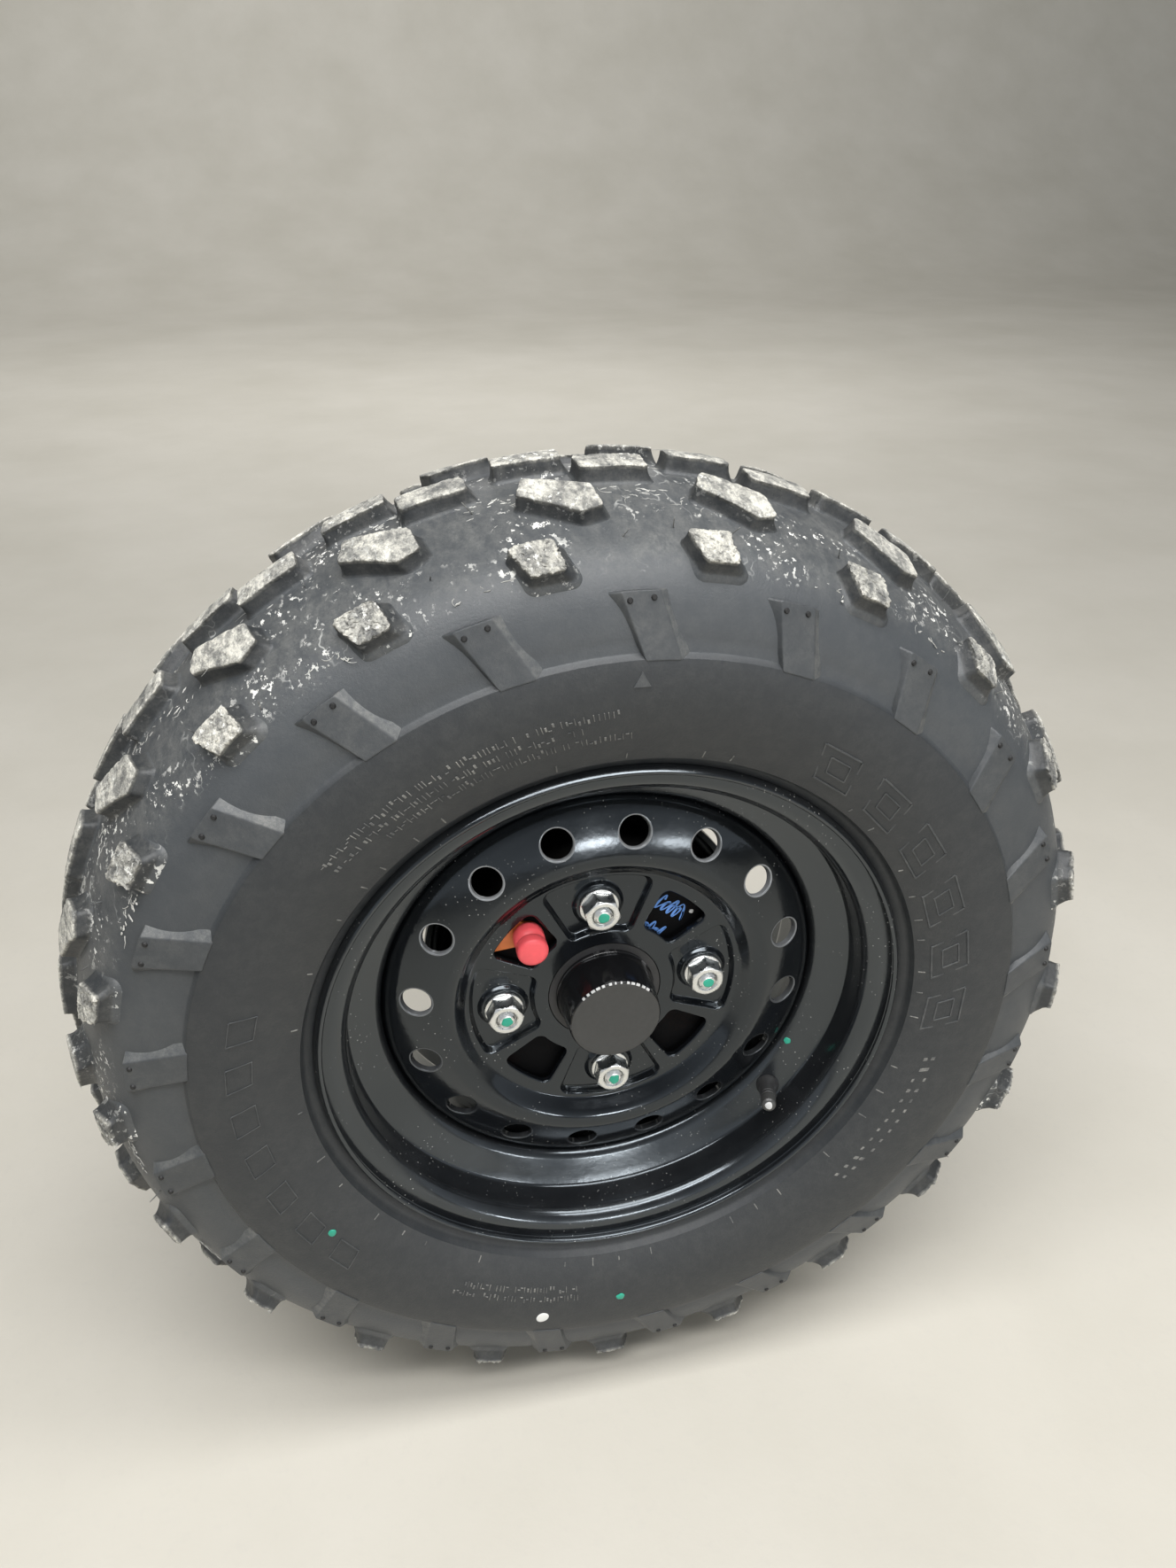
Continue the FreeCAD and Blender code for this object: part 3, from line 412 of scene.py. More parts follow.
def block_faces(rows, columns, first):
    """Faces of a block shape whose last row closes on its first point's ring."""
    faces = grid_faces(rows, columns, first=first)
    last = first + (rows - 1) * columns
    faces.append(tuple(last + c for c in range(columns)))
    return faces


# A lug's levels, as (height, how far its outline is moved out), and its rows: name, degrees round
# from the fins, share of the half width, corners and bend
LUG_LEVELS = [(-2.0, 4.2), (-0.2, 3.0), (0.5, 2.2), (1.5, 1.5), (3.0, 1.1), (4.6, 0.8), (6.2, 0.6),
              (7.3, 0.45), (8.0, 0.25), (8.35, -0.05), (8.5, -0.45)]
LUG_ROWS = [
    ("shoulder", 9.8, 0.798, [(-7.6, 8.5), (12.5, 8.5), (4.9, -8.5), (-9.8, -8.5)], 2.0),
    ("inner", 6.2, 0.41, [(-15.3, 3.0), (12.8, 16.0), (17.5, 2.0), (-6.9, -15.8), (-17.0, -12.7)], 1.8),
    ("centre", 0.0, 0.101, [(-15.5, 8.0), (15.5, 8.0), (14.5, -8.0), (-16.0, -8.0)], 1.8),
]
# For each row: how far its feet run out on one side, how pale its tops are, how torn they are,
# the spacing of its mesh and the rings on its tops
RAMP_LONG = {"shoulder": 4.0, "inner": 2.5, "centre": 2.0}
DUSTY = {"shoulder": 0.76, "inner": 0.9, "centre": 0.85}
ROUGH = {"shoulder": 1.0, "inner": 0.45, "centre": 0.45}
LUG_STEP = {"shoulder": 1.1, "inner": 1.7, "centre": 1.7}
LUG_RINGS = {"shoulder": (0.9, 0.79, 0.68, 0.57, 0.46, 0.35, 0.24, 0.12),
             "inner": (0.84, 0.66, 0.48, 0.3, 0.14),
             "centre": (0.84, 0.66, 0.48, 0.3, 0.14)}
# How far round the inboard half of the tread is moved, in degrees
STAGGER = 7.5


def row_reach(share):
    """Distance of a lug row from the tyre's middle, along the crown's arc."""
    return CROWN_ARC * math.asin(TYRE_WIDTH / 2 * share / CROWN_ARC)


def lug_radius(reach):
    """Radius on which a lug's length round the tyre is measured."""
    return tip_radius(np.clip(reach, -100, 100) * 0.97)


def roughened(points, scale, seed):
    """Small uneven moves of each point, from -1 to 1 each way."""
    return np.array([tuple(noise.noise_vector(Vector(p) * scale + Vector((seed, 0, 0)))) for p in points])


def tyre_lugs(row):
    """One row of tread lugs on both halves, roughened by wear, torn and rounded."""
    name, step, share, corners, bend = row
    chance = random.Random(7)
    shape = block_shape(corners, bend, LUG_LEVELS, LUG_RINGS[name], LUG_STEP[name])
    rows, columns = shape.shape[:2]
    u, w, height = shape.reshape(-1, 3).T
    u = u - RAMP_LONG[name] * share_between(height, 5.5, 0.0) * share_between(u, 0.0, -8.0)
    reach = row_reach(share) - w
    settled = share_between(height, 1.0, 6.0)
    top = share_between(height, 6.5, 8.0)
    face = share_between(height, 6.8, 8.0)
    flank = share_between(height, 0.4, 1.4) * share_between(height, 7.4, 6.6)
    at_edge = np.repeat(np.arange(rows), columns) <= len(LUG_LEVELS)
    points, faces, dust_and_highlight = [], [], []
    for side, turn in ((1, 0.0), (-1, STAGGER)):
        for k in range(PITCHES):
            angle = FIN_ANGLE + step + turn + k * PITCH
            placed = crown_place(angle + np.degrees(u / lug_radius(reach)), reach, height, side)
            wear = roughened(placed, 0.09, 3.0 * k + 40 * side) * 0.6
            wear += roughened(placed, 0.33, 9.0 * k) * 0.3
            wear += roughened(placed, 0.7, 5.0 * k) * (1.3 * ROUGH[name] * top)[:, None]
            out = around(1.0, angle, 0.0)
            sunk = np.clip(wear @ out, 0, 9) * top
            faces += block_faces(rows, columns, len(points) * rows * columns)
            points.append(placed + wear * settled[:, None] - sunk[:, None] * out)
            paler = 1.0 + 0.18 * math.cos(math.radians(angle - 150.0))
            amount = DUSTY[name] * chance.uniform(0.75, 1.15) * paler
            pale = np.where(at_edge, max(amount, 0.85 * paler), amount)
            dust_and_highlight.append(0.05 + (pale - 0.05) * face)
    # Painted shade: the lug flanks get a lower value and so a darker colour, standing in for the shade under
    # each lug; tops and feet keep the full value.
    piece = new_mesh(f"tyre_lugs_{name}", np.vstack(points), faces,
                     values={"dust_and_highlight": np.concatenate(dust_and_highlight), "tread": np.tile(1.0 - 0.8 * flank, len(dust_and_highlight)),
                             "painted_light": np.tile(1.0 - flank, len(dust_and_highlight))})
    return tidy_mesh(piece, 42)


# A fin's face and foot, as (u round the tyre, w outwards), and its place on the shoulder
FIN_CORNERS = [(-15.1, -16.4), (0.6, -16.4), (10.9, 13.4), (-5.9, 13.4)]
FIN_FOOT = [(-33.0, -16.4), (1.6, -16.4), (22.0, 13.4), (-14.5, 13.4)]
FIN_DEPTH = 9.0
FIN_LEAN = (FIN_CORNERS[3][0] - FIN_CORNERS[0][0]) / (FIN_CORNERS[3][1] - FIN_CORNERS[0][1])
FIN_TILT = math.radians(14.2)
FIN_RADIUS = 226.5
FIN_REACH = 84.4
FIN_LEVELS = [(9.0, 0.0), (7.0, 0.0), (5.0, 0.0), (3.5, 0.0), (2.4, 0.0), (1.5, 0.0), (0.8, 0.0), (0.4, 0.0),
              (0.15, -0.12), (0.03, -0.4), (0.0, -0.8)]
PIP_RADIUS = 1.35
PIP_PLACES = [(7.2, 9.4), (-3.2, 10.2)]


def even_outline(corners, bend, per_edge=9):
    """Closed outline with rounded corners and the same number of points for any corners."""
    arcs = [corner_arc(*three, bend) for three in corner_triples(corners)]
    line = []
    for arc, following in zip(arcs, arcs[1:] + arcs[:1]):
        line.extend(arc)
        line.extend(arc[-1] + (following[0] - arc[-1]) * t for t in np.linspace(0, 1, per_edge + 2)[1:-1])
    return np.array(line)


def fin_shape():
    """A fin as rows of (u, w, height), from its wide foot to the middle of its face."""
    rows = []
    foot_way = np.array(FIN_FOOT) - FIN_CORNERS
    for depth, inset in FIN_LEVELS:
        line = even_outline(FIN_CORNERS + foot_way * depth / FIN_DEPTH, 1.0)
        away = line - line.mean(0)
        line = line + away * inset / np.hypot(*away.T)[:, None]
        rows.append(np.column_stack([line, np.full(len(line), -depth)]))
    return np.array(rows + inner_rings(rows[-1][:, :2], 0.0, (0.75, 0.45, 0.2)))


def fin_place(angle, u, w, height, side):
    """A place on a fin's face plane: u round the tyre, w outwards, height above the face."""
    radius = FIN_RADIUS + w * math.cos(FIN_TILT) + height * math.sin(FIN_TILT)
    reach = FIN_REACH - w * math.sin(FIN_TILT) + height * math.cos(FIN_TILT)
    return around(radius, angle + np.degrees(u / radius), MIDDLE - side * reach)


def on_every_fin(shapes, name):
    """A piece with the given (form, place) shapes on each fin of both shoulders."""
    points, faces, paler = [], [], []
    count = 0
    for side, turn in ((1, 0.0), (-1, STAGGER)):
        for angle in FIN_ANGLE + turn + np.arange(PITCHES) * PITCH:
            for form, at in shapes:
                u, w, height = form.reshape(-1, 3).T
                points.append(fin_place(angle, u + at[0], w + at[1], height, side))
                faces += block_faces(*form.shape[:2], count)
                # Painted light: the long, gentle slope on one side of each fin is drawn paler and greyer,
                # standing in for the light from above on that facet; the whole fin is also a little greyer as
                # painted light.
                long_slope = FIN_CORNERS[0][0] + (w - FIN_CORNERS[0][1]) * FIN_LEAN
                paler.append(share_between(u, long_slope, long_slope - 0.6))
                count += len(u)
    paler = np.concatenate(paler)
    return tidy_mesh(new_mesh(name, np.vstack(points), faces, values={
        "dust_and_highlight": 0.03 + 0.07 * paler, "tread": np.zeros(count), "painted_light": 0.75 + 0.25 * paler}), 40)


def tyre_fins():
    """Raised fins on both shoulders, each with a long slope on one side."""
    return on_every_fin([(fin_shape(), (0.0, 0.0))], "tyre_fins")


def fin_pips():
    """Two small raised pips near each fin's outer corners, coloured near-black as painted shade."""
    corners = [(PIP_RADIUS * math.cos(a), PIP_RADIUS * math.sin(a)) for a in np.arange(6) * math.pi / 3]
    pip = block_shape(corners, 0.9, [(-0.5, 0.4), (0.0, 0.15), (0.5, -0.05), (0.9, -0.35)], (0.5,), 0.7)
    return on_every_fin([(pip, at) for at in PIP_PLACES], "fin_pips")


# How much paler the smaller marks are drawn: a painted highlight on their raised edges
MARK_HIGHLIGHT = 0.2
# Rows of outlined bars: count, first angle, step, radius, length, height, lean and line
OUTLINED = [(6, 56.0, -11.8, 177.0, 22.0, 18.0, 0.45, 1.1), (6, 56.0, -11.8, 177.0, 12.0, 8.0, 0.45, 0.9),
            (7, 166.0, 8.4, 188.0, 14.0, 12.0, 0.35, 0.7)]
# Rows of ticks: radius, first and last angle; and the sizes that a tick can have
TICKS = [(187.5, 92.0, 137.0), (181.5, 97.0, 137.0), (175.5, 90.0, 128.0), (184.0, 238.0, 262.0),
         (178.0, 240.0, 262.0)]
TICK_SIZES = ((0.6, 3.6), (0.6, 3.4), (1.7, 0.6), (1.2, 2.2))
BAR_FACES = [(0, 1, 3, 2), (2, 3, 5, 4), (4, 5, 7, 6), (0, 2, 4, 6), (1, 7, 5, 3)]
ARROW = [(0.0, 4.4), (-4.2, -3.0), (4.2, -3.0)]
ARROW_ANGLE = 89.0
ARROW_RADIUS = 202.3


def raised_bar(angle, radius, long, high, lean=0.0, rise=0.32):
    """A low bar on the sidewall, as eight points: two at each corner of its section."""
    points = []
    for w_end, top in ((-0.5, 0), (-0.5, 1), (0.5, 1), (0.5, 0)):
        for u_end in (-0.5, 0.5):
            inset = 0.16 * top
            u = u_end * (long - 2 * inset) + lean * w_end * high
            r = radius + w_end * (high - 2 * inset)
            y = sidewall_y(r) + 0.3 - (0.3 + rise) * top
            points.append(around(r, angle + math.degrees(u / radius), y))
    return points, BAR_FACES


def outlined_bars():
    """Bars drawn by the four low lines round them."""
    bars = []
    for count, first, step, radius, long, high, lean, line in OUTLINED:
        turn = math.degrees(long / radius / 2)
        shift = math.degrees(lean * high / radius / 2)
        for angle in first + step * np.arange(count):
            bars += [raised_bar(angle + shift, radius + high / 2, long, line, 0.0, 0.5),
                     raised_bar(angle - shift, radius - high / 2, long, line, 0.0, 0.5),
                     raised_bar(angle - turn, radius, line, high, lean, 0.5),
                     raised_bar(angle + turn, radius, line, high, lean, 0.5)]
    return bars


def small_marks():
    """Rows of small ticks, a hatched field and short bars round the foot of the sidewall."""
    chance = random.Random(11)
    bars = []
    for radius, angle, end in TICKS:
        while angle < end:
            if chance.random() < 0.86:
                long, high = chance.choice(TICK_SIZES)
                off = chance.choice((0.0, 0.0, -1.2, 1.2)) * (high < 3.0)
                bars.append(raised_bar(angle, radius + off, long, high, 0.1, 0.4))
            angle += chance.uniform(0.5, 0.75)
    for k in range(13):
        bars.append(raised_bar(-14.0 - 2.45 * k, 178.5, 2.6, chance.uniform(4.5, 7.5), 0.4, 0.05))
    for k in range(60):
        if chance.random() < 0.55:
            bars.append(raised_bar(6.0 * k + chance.uniform(-1, 1), 163.5, 0.8, chance.uniform(2.0, 4.6)))
    return bars


def arrow_mark():
    """A plain triangle near the ridge."""
    points = []
    for scale, top in ((1.0, 0), (0.9, 1)):
        for u, w in ARROW:
            r = ARROW_RADIUS + w * scale
            y = sidewall_y(r) + 0.4 - 0.9 * top
            points.append(around(r, ARROW_ANGLE + math.degrees(u * scale / r), y))
    return points, [(3, 4, 5), (0, 1, 4, 3), (1, 2, 5, 4), (2, 0, 3, 5)]


def sidewall_marks():
    """Low raised marks on the sidewall, a little greyer as painted light, the smaller ones paler still as a
    painted highlight.
    """
    outlined, small = outlined_bars(), small_marks()
    points, faces = joined(outlined + small + [arrow_mark()])
    paleness = np.repeat([0.0, 1.0, 0.0], [8 * len(outlined), 8 * len(small), 6])
    return new_mesh("sidewall_marks", points, faces, False,
                    {"dust_and_highlight": 0.05 + MARK_HIGHLIGHT * paleness, "tread": np.zeros(len(points)),
                     "painted_light": np.full(len(points), 0.7)})


def tube(path, thick, taper=0.5, sides=5):
    """A thin strand along a path, as points and faces."""
    path = np.array(path)
    ahead = np.gradient(path, axis=0)
    ahead /= np.linalg.norm(ahead, axis=1)[:, None]
    side = np.cross(ahead, (0.3, 0.9, 0.2))
    side /= np.linalg.norm(side, axis=1)[:, None]
    over = np.cross(ahead, side)
    wide = thick * (1.0 - taper * np.linspace(0, 1, len(path)))[:, None, None]
    turns = (np.arange(sides) * 2 * math.pi / sides)[None, :, None]
    ring = path[:, None] + (side[:, None] * np.cos(turns) + over[:, None] * np.sin(turns)) * wide
    last = sides * (len(path) - 1)
    faces = grid_faces(len(path), sides) + [tuple(range(sides))[::-1], tuple(range(last, last + sides))]
    return ring.reshape(-1, 3), faces


def rubber_hairs():
    """Moulding hairs that stand on the tread between the lugs."""
    chance = random.Random(23)
    parts = []
    for k in range(PITCHES * 4):
        angle = FIN_ANGLE + k * PITCH / 4 + chance.uniform(-1.5, 1.5)
        reach = chance.choice((-74.0, -56.0, 58.0, 76.0, 30.0, 0.0)) + chance.uniform(-6, 6)
        foot = crown_place(angle, reach, -0.5)
        tip = crown_place(angle + chance.uniform(-0.8, 0.8), reach * chance.uniform(0.98, 1.03),
                          chance.uniform(3.0, 8.0))
        bow = (foot + tip) / 2 + np.array([chance.uniform(-0.5, 0.5) for _ in range(3)])
        t = np.linspace(0, 1, 6)[:, None]
        parts.append(tube((1 - t) ** 2 * foot + 2 * t * (1 - t) * bow + t ** 2 * tip, 0.42))
    points, faces = joined(parts)
    return new_mesh("tyre_hairs", points, faces,
                    values={"dust_and_highlight": np.full(len(points), 0.2), "tread": np.ones(len(points)),
                            "painted_light": np.ones(len(points))})


def lug_height_at(angle, reach):
    """How high a place on the crown lies, on a lug's top or the carcass, and its lug row."""
    for name, step, share, corners, _ in LUG_ROWS:
        turn = STAGGER if reach < 0 else 0.0
        off = (angle - FIN_ANGLE - step - turn + PITCH / 2) % PITCH - PITCH / 2
        u, w = math.radians(off) * lug_radius(reach), row_reach(share) - abs(reach)
        if in_outline(np.array([[u, w]]), np.array(corners))[0]:
            return LUG_HEIGHT, name
    return 0.0, ""


# Radius used to turn a length round the tread into an angle
DEBRIS_RADIUS = 250.0


def flake(spot, heading, long, wide, lift, chance):
    """A thin torn flake lying on the tread; spot is the (angle, reach, height) of its middle."""
    angle, reach, height = spot
    points = []
    for t in np.linspace(-0.5, 0.5, 6):
        half = wide * math.cos(math.pi * t * 0.92) * chance.uniform(0.5, 1.2)
        bow = chance.uniform(-0.25, 0.25)
        for s, up in ((-1.0, 0.0), (-0.5, lift), (0.5, lift), (1.0, 0.0)):
            du = long * t * math.cos(heading) - (half * s + bow) * math.sin(heading)
            dw = long * t * math.sin(heading) + (half * s + bow) * math.cos(heading)
            points.append(crown_place(angle + math.degrees(du / DEBRIS_RADIUS), reach + dw,
                                      min(height + up - 0.05, LUG_HEIGHT - 0.02)))
    return np.array(points), grid_faces(6, 4)


def thread(spot, heading, chance):
    """A curled thread of torn rubber that starts at a spot."""
    angle, reach, height = spot
    bend = chance.uniform(-1.4, 1.4)
    long = chance.uniform(2.0, 8.0)
    path = []
    for t in np.linspace(0, 1, 7):
        du, dw = long * t * math.cos(heading + bend * t), long * t * math.sin(heading + bend * t)
        lift = 0.15 + math.sin(math.pi * t) * chance.uniform(0, 0.5)
        path.append(crown_place(angle + math.degrees(du / DEBRIS_RADIUS), reach + dw,
                                min(height + lift, LUG_HEIGHT - 0.3)))
    return tube(path, chance.uniform(0.14, 0.32), 0.7)


def tread_debris():
    """Pale torn rubber lying in clusters on the tread, most of it at the upper left."""
    chance = random.Random(41)
    parts = []
    for _ in range(100):
        _, step, share, _, _ = chance.choice(LUG_ROWS)
        centre = FIN_ANGLE + step + round(chance.gauss(3.3, 2.6)) * PITCH + chance.gauss(3.6, 2.0)
        middle = chance.choice((1, 1, 1, 1, -1)) * row_reach(share)
        middle += chance.gauss(0, 7.0)
        heading = chance.gauss(0.4, 0.4)
        for _ in range(chance.randint(8, 34)):
            angle, reach = centre + chance.gauss(0, 1.7), middle + chance.gauss(0, 4.0)
            height, name = lug_height_at(angle, reach)
            if abs(reach) > 84.0 or name == "shoulder":
                continue
            spot, lean = (angle, reach, height), heading + chance.gauss(0, 0.45)
            if chance.random() < 0.13:
                parts.append(thread(spot, lean, chance))
            else:
                parts.append(flake(spot, lean, chance.uniform(0.7, 4.2), chance.uniform(0.2, 0.75),
                                   chance.uniform(0.15, 0.5), chance))
    points, faces = joined(parts)
    return new_mesh("tread_debris", points, faces, False)


# Rim and disc

def rim_piece():
    """The pressed rim as one fine turned sheet."""
    half = RIM_SHEET / 2
    seat = BEAD_RADIUS - half
    well = seat - WELL_DEPTH
    lip = FLANGE_RADIUS - half
    near = LIP_REACH - half
    far = 2 * MIDDLE - near
    line = [(LIP_EDGE[0], lip + LIP_EDGE[1]), (LIP_CREST[0], lip + LIP_CREST[1]), (near, lip - 0.8),
            (near, seat), (LIP_REACH + BEAD_SEAT, seat), (WELL_START, well), (WELL_END, well),
            (WELL_END + WELL_SLOPE, seat), (far, seat), (far, lip), (2 * MIDDLE, lip)]
    bends = LIP_BENDS + [SEAT_BEND, RIM_BEND, WELL_BEND, WELL_BEND, RIM_BEND, RIM_BEND, FLANGE_CURL - half]
    first, second = sheet_outline(line, bends, RIM_SHEET)
    turns = np.radians(np.linspace(-90, 90, 7)[1:-1])
    across = (first[0] - second[0]) / 2
    start = ((first[0] + second[0]) / 2 + across * np.sin(-turns)[:, None]
             - LIP_ROUND * np.abs(across[::-1]) * np.cos(turns)[:, None])
    far_end = 2 * MIDDLE - FAR_LIP_ROUND
    end = np.stack([far_end + FAR_LIP_ROUND * np.cos(turns), lip + half * np.sin(turns)], -1)
    first[-1, 0] = second[-1, 0] = far_end
    if first[-1, 1] < second[-1, 1]:
        end = end[::-1]
    sides = [filled_in(side, RIM_SPACING) for side in (first, second[::-1])]
    return tidy_mesh(lathe("rim", np.vstack([sides[0], end[::-1], sides[1], start[::-1]]), RIM_STEPS), 30)


def disc_outline(step):
    """Outer and inner (y, radius) lines of the disc, from its skirt to its bore."""
    half = DISC_SHEET / 2
    edge = BEAD_RADIUS - WELL_DEPTH - RIM_SHEET - half
    points = [(DISC_EDGE + DISC_SKIRT, edge), (DISC_EDGE + half, edge), (DISC_CREST + half, CREST_RADIUS),
              (WEB_PLANE + half, SECTOR_RADIUS), (WEB_PLANE + half, DISC_BORE)]
    sides = sheet_outline(points, DISC_BENDS, DISC_SHEET, step)
    return sorted(sides, key=lambda side: side[-1, 0])


# The disc's face line, with its slope a little crowned
SLOPE_CROWN = 0.85
FACE_LINE = filled_in(disc_outline(0.05)[0], 0.5)
CROWN_START = CREST_RADIUS + 2.0
CROWN_SHARE = share_between(FACE_LINE[:, 1], CROWN_START, BEAD_RADIUS - WELL_DEPTH - 8.0)
FACE_LINE[:, 0] -= SLOPE_CROWN * np.sin(math.pi * CROWN_SHARE)
FACE_SLOPE = np.gradient(FACE_LINE[:, 0], FACE_LINE[:, 1])
SLOPE = math.atan2(DISC_EDGE - DISC_CREST, BEAD_RADIUS - WELL_DEPTH - RIM_SHEET - CREST_RADIUS)
# Where the flat mesh of the face ends and the skirt begins
EDGE_POINT = int(np.argmax(np.abs(FACE_SLOPE) < 1.4))
EDGE_RADIUS = FACE_LINE[EDGE_POINT, 1]
# Radii of the holes' rounded edges, the pockets' floor, the nut seats' rise, the pockets' slope
VENT_EDGE = 1.0
WINDOW_EDGE = 1.3
POCKET_FLOOR = WEB_PLANE + POCKET_DEPTH
SEAT_RISE = 2.6
RAMP = 3.0


def sector_outline(inner, outer, half_angle, corner, step):
    """Closed outline round +X of part of a ring with rounded corners, and its outward normals."""
    turn = math.radians(half_angle)
    line = []
    for radius, sign in ((outer, 1), (inner, -1)):
        arm = radius - sign * corner
        lean = math.asin(corner / arm)
        reach = math.sqrt(arm ** 2 - corner ** 2)
        corners = []
        for side in (1, -1):
            centre = arm * np.array([math.cos(side * (turn - lean)), math.sin(side * (turn - lean))])
            end = reach * np.array([math.cos(side * turn), math.sin(side * turn)])
            near = radius * np.array([math.cos(side * (turn - lean)), math.sin(side * (turn - lean))])
            half = (end + near) / 2 - centre
            corners.append(three_point_arc(end, centre + half / np.hypot(*half) * corner, near, 14))
        across = np.linspace(turn - lean, -(turn - lean), 40)[1:-1]
        arc = radius * np.stack([np.cos(across), np.sin(across)], -1)
        part = np.vstack([corners[0], arc, corners[1][::-1]])
        line.append(part if sign == 1 else part[::-1])
    line = np.vstack(line + [line[0][:1]])
    length = np.concatenate([[0], np.cumsum(np.hypot(*np.diff(line, axis=0).T))])
    count = int(length[-1] / step)
    at = np.arange(count) * length[-1] / count
    line = np.stack([np.interp(at, length, line[:, k]) for k in (0, 1)], -1)
    normal = outward(line)
    return line, normal * np.sign(np.sum(normal * (line - line.mean(0))))


POCKET = sector_outline(POCKET_INNER, POCKET_OUTER, POCKET_HALF_ANGLE, 5.0, 0.8)
WINDOW = sector_outline(WINDOW_INNER, WINDOW_OUTER, WINDOW_HALF_ANGLE, 4.0, 0.9)


def turned_to(points, angle):
    """Flat (x, z) places turned round the axle."""
    c, s = math.cos(math.radians(angle)), math.sin(math.radians(angle))
    return points @ np.array([[c, s], [-s, c]])


def folded(points, first, count):
    """Flat places brought into the first of a ring of like forms, whose middle is put on +X."""
    angle = np.degrees(np.arctan2(points[:, 1], points[:, 0])) - first
    share = 360.0 / count
    turn = np.radians((angle + share / 2) % share - share / 2)
    radius = np.hypot(*points.T)
    return np.stack([radius * np.cos(turn), radius * np.sin(turn)], -1)


def outline_distance(points, shape):
    """Distance outside an outline, below zero inside it."""
    line, normal = shape
    out = np.empty(len(points))
    for k in range(0, len(points), 4000):
        gap = points[k:k + 4000, None] - line[None]
        far = np.einsum("ijk,ijk->ij", gap, gap)
        near = far.argmin(1)
        rows = np.arange(len(near))
        side = np.einsum("ij,ij->i", gap[rows, near], normal[near])
        out[k:k + 4000] = np.where(np.abs(side) > 0.8, np.sign(side) * np.sqrt(far[rows, near]), side)
    return out


def eased(share):
    """Smooth step from 0 to 1."""
    share = np.clip(share, 0, 1)
    return share * share * (3 - 2 * share)


def rolled_edge(distance, radius):
    """How far a hole's rounded edge drops at a distance from the hole."""
    near = np.clip(radius - np.maximum(distance, 0.0), 0, radius)
    return radius - np.sqrt(radius ** 2 - near ** 2)


def vent_distance(points):
    """Distance outside the nearest vent, measured on the disc's slope."""
    local = folded(points, VENT_ANGLE, VENTS)
    return np.hypot((local[:, 0] - VENT_CIRCLE) / math.cos(SLOPE), local[:, 1]) - VENT_RADIUS


def disc_height(points, edges=True):
    """y of the disc's outer face over flat (x, z) places."""
    order = np.argsort(FACE_LINE[:, 1])
    y = np.interp(np.hypot(*points.T), FACE_LINE[order, 1], FACE_LINE[order, 0])
    at_bolt = folded(points, BOLT_ANGLE, BOLTS)
    y = y + POCKET_DEPTH * eased((0.7 - outline_distance(at_bolt, POCKET)) / RAMP)
    seat = np.hypot(at_bolt[:, 0] - BOLT_CIRCLE, at_bolt[:, 1])
    y = y - SEAT_RISE * eased((14.2 - seat) / 3.0)
    if edges:
        y = y + rolled_edge(vent_distance(points), VENT_EDGE)
        at_window = folded(points, BOLT_ANGLE + 180.0 / BOLTS, BOLTS)
        y = y + rolled_edge(outline_distance(at_window, WINDOW), WINDOW_EDGE)
    return y


def disc_normal(points, edges=True):
    """Outboard normals of the disc's face over flat places."""
    gap = 0.04
    slope = [(disc_height(points + step, edges) - disc_height(points - step, edges)) / (2 * gap)
             for step in (np.array([gap, 0]), np.array([0, gap]))]
    normal = np.stack([slope[0], -np.ones(len(points)), slope[1]], -1)
    return normal / np.linalg.norm(normal, axis=1)[:, None]


def disc_loops():
    """Outlines that the disc's mesh follows: those in the first list bound its holes and its edge."""
    turns = np.arange(360) * 2 * math.pi / 360
    circle = np.stack([np.cos(turns), np.sin(turns)], -1)
    bounds = [circle * EDGE_RADIUS, circle[::3] * DISC_BORE]
    inner = [circle[::3] * (DISC_BORE + 0.6)]
    small = circle[::5]
    for k in range(VENTS):
        for out in (0.0, 0.05, 0.15, 0.3, 0.5, 0.75, 1.0, 1.15, 1.5, 2.2, 3.2, 4.2):
            ring = small * (VENT_RADIUS + out) * (math.cos(SLOPE), 1.0) + (VENT_CIRCLE, 0.0)
            (inner if out else bounds).append(turned_to(ring, VENT_ANGLE + k * 360.0 / VENTS))
    for k in range(BOLTS):
        angle = BOLT_ANGLE + k * 360.0 / BOLTS
        for out in (-2.9, -2.3, -1.8, -1.3, -0.8, -0.3, 0.2, 0.7, 1.3):
            inner.append(turned_to(POCKET[0] + POCKET[1] * out, angle))
        for out in (0.0, 0.1, 0.3, 0.6, 0.9, 1.3, 2.0):
            ring = turned_to(WINDOW[0] + WINDOW[1] * out, angle + 180.0 / BOLTS)
            (inner if out else bounds).append(ring)
        for reach in (6.0, 9.0, 10.6, 11.2, 11.8, 12.4, 13.0, 13.6, 14.2, 15.2):
            ring = turned_to(small * reach + (BOLT_CIRCLE, 0.0), angle)
            (inner if reach > 6.0 else bounds).append(ring)
    return bounds, inner


def disc_points(loops):
    """Loose points on rings over the disc, kept clear of the outlines."""
    tree = kdtree.KDTree(sum(len(loop) for loop in loops))
    count = 0
    for loop in loops:
        for p in loop:
            tree.insert((p[0], p[1], 0), count)
            count += 1
    tree.balance()
    # Rings from one radius to another, closer together over the crest and near the edge
    radii = np.concatenate([np.arange(*ring) for ring in (
        (33.0, 73.0, 2.2), (73.4, 91.0, 0.8), (91.6, 112.0, 1.7), (112.4, EDGE_RADIUS, 0.6))])
    kept = []
    for n, radius in enumerate(radii):
        count = max(60, int(2 * math.pi * radius / 2.2))
        for turn in (np.arange(count) + 0.5 * (n % 2)) * 2 * math.pi / count:
            p = (radius * math.cos(turn), radius * math.sin(turn))
            if tree.find((p[0], p[1], 0))[2] > 0.7:
                kept.append(p)
    return np.array(kept)


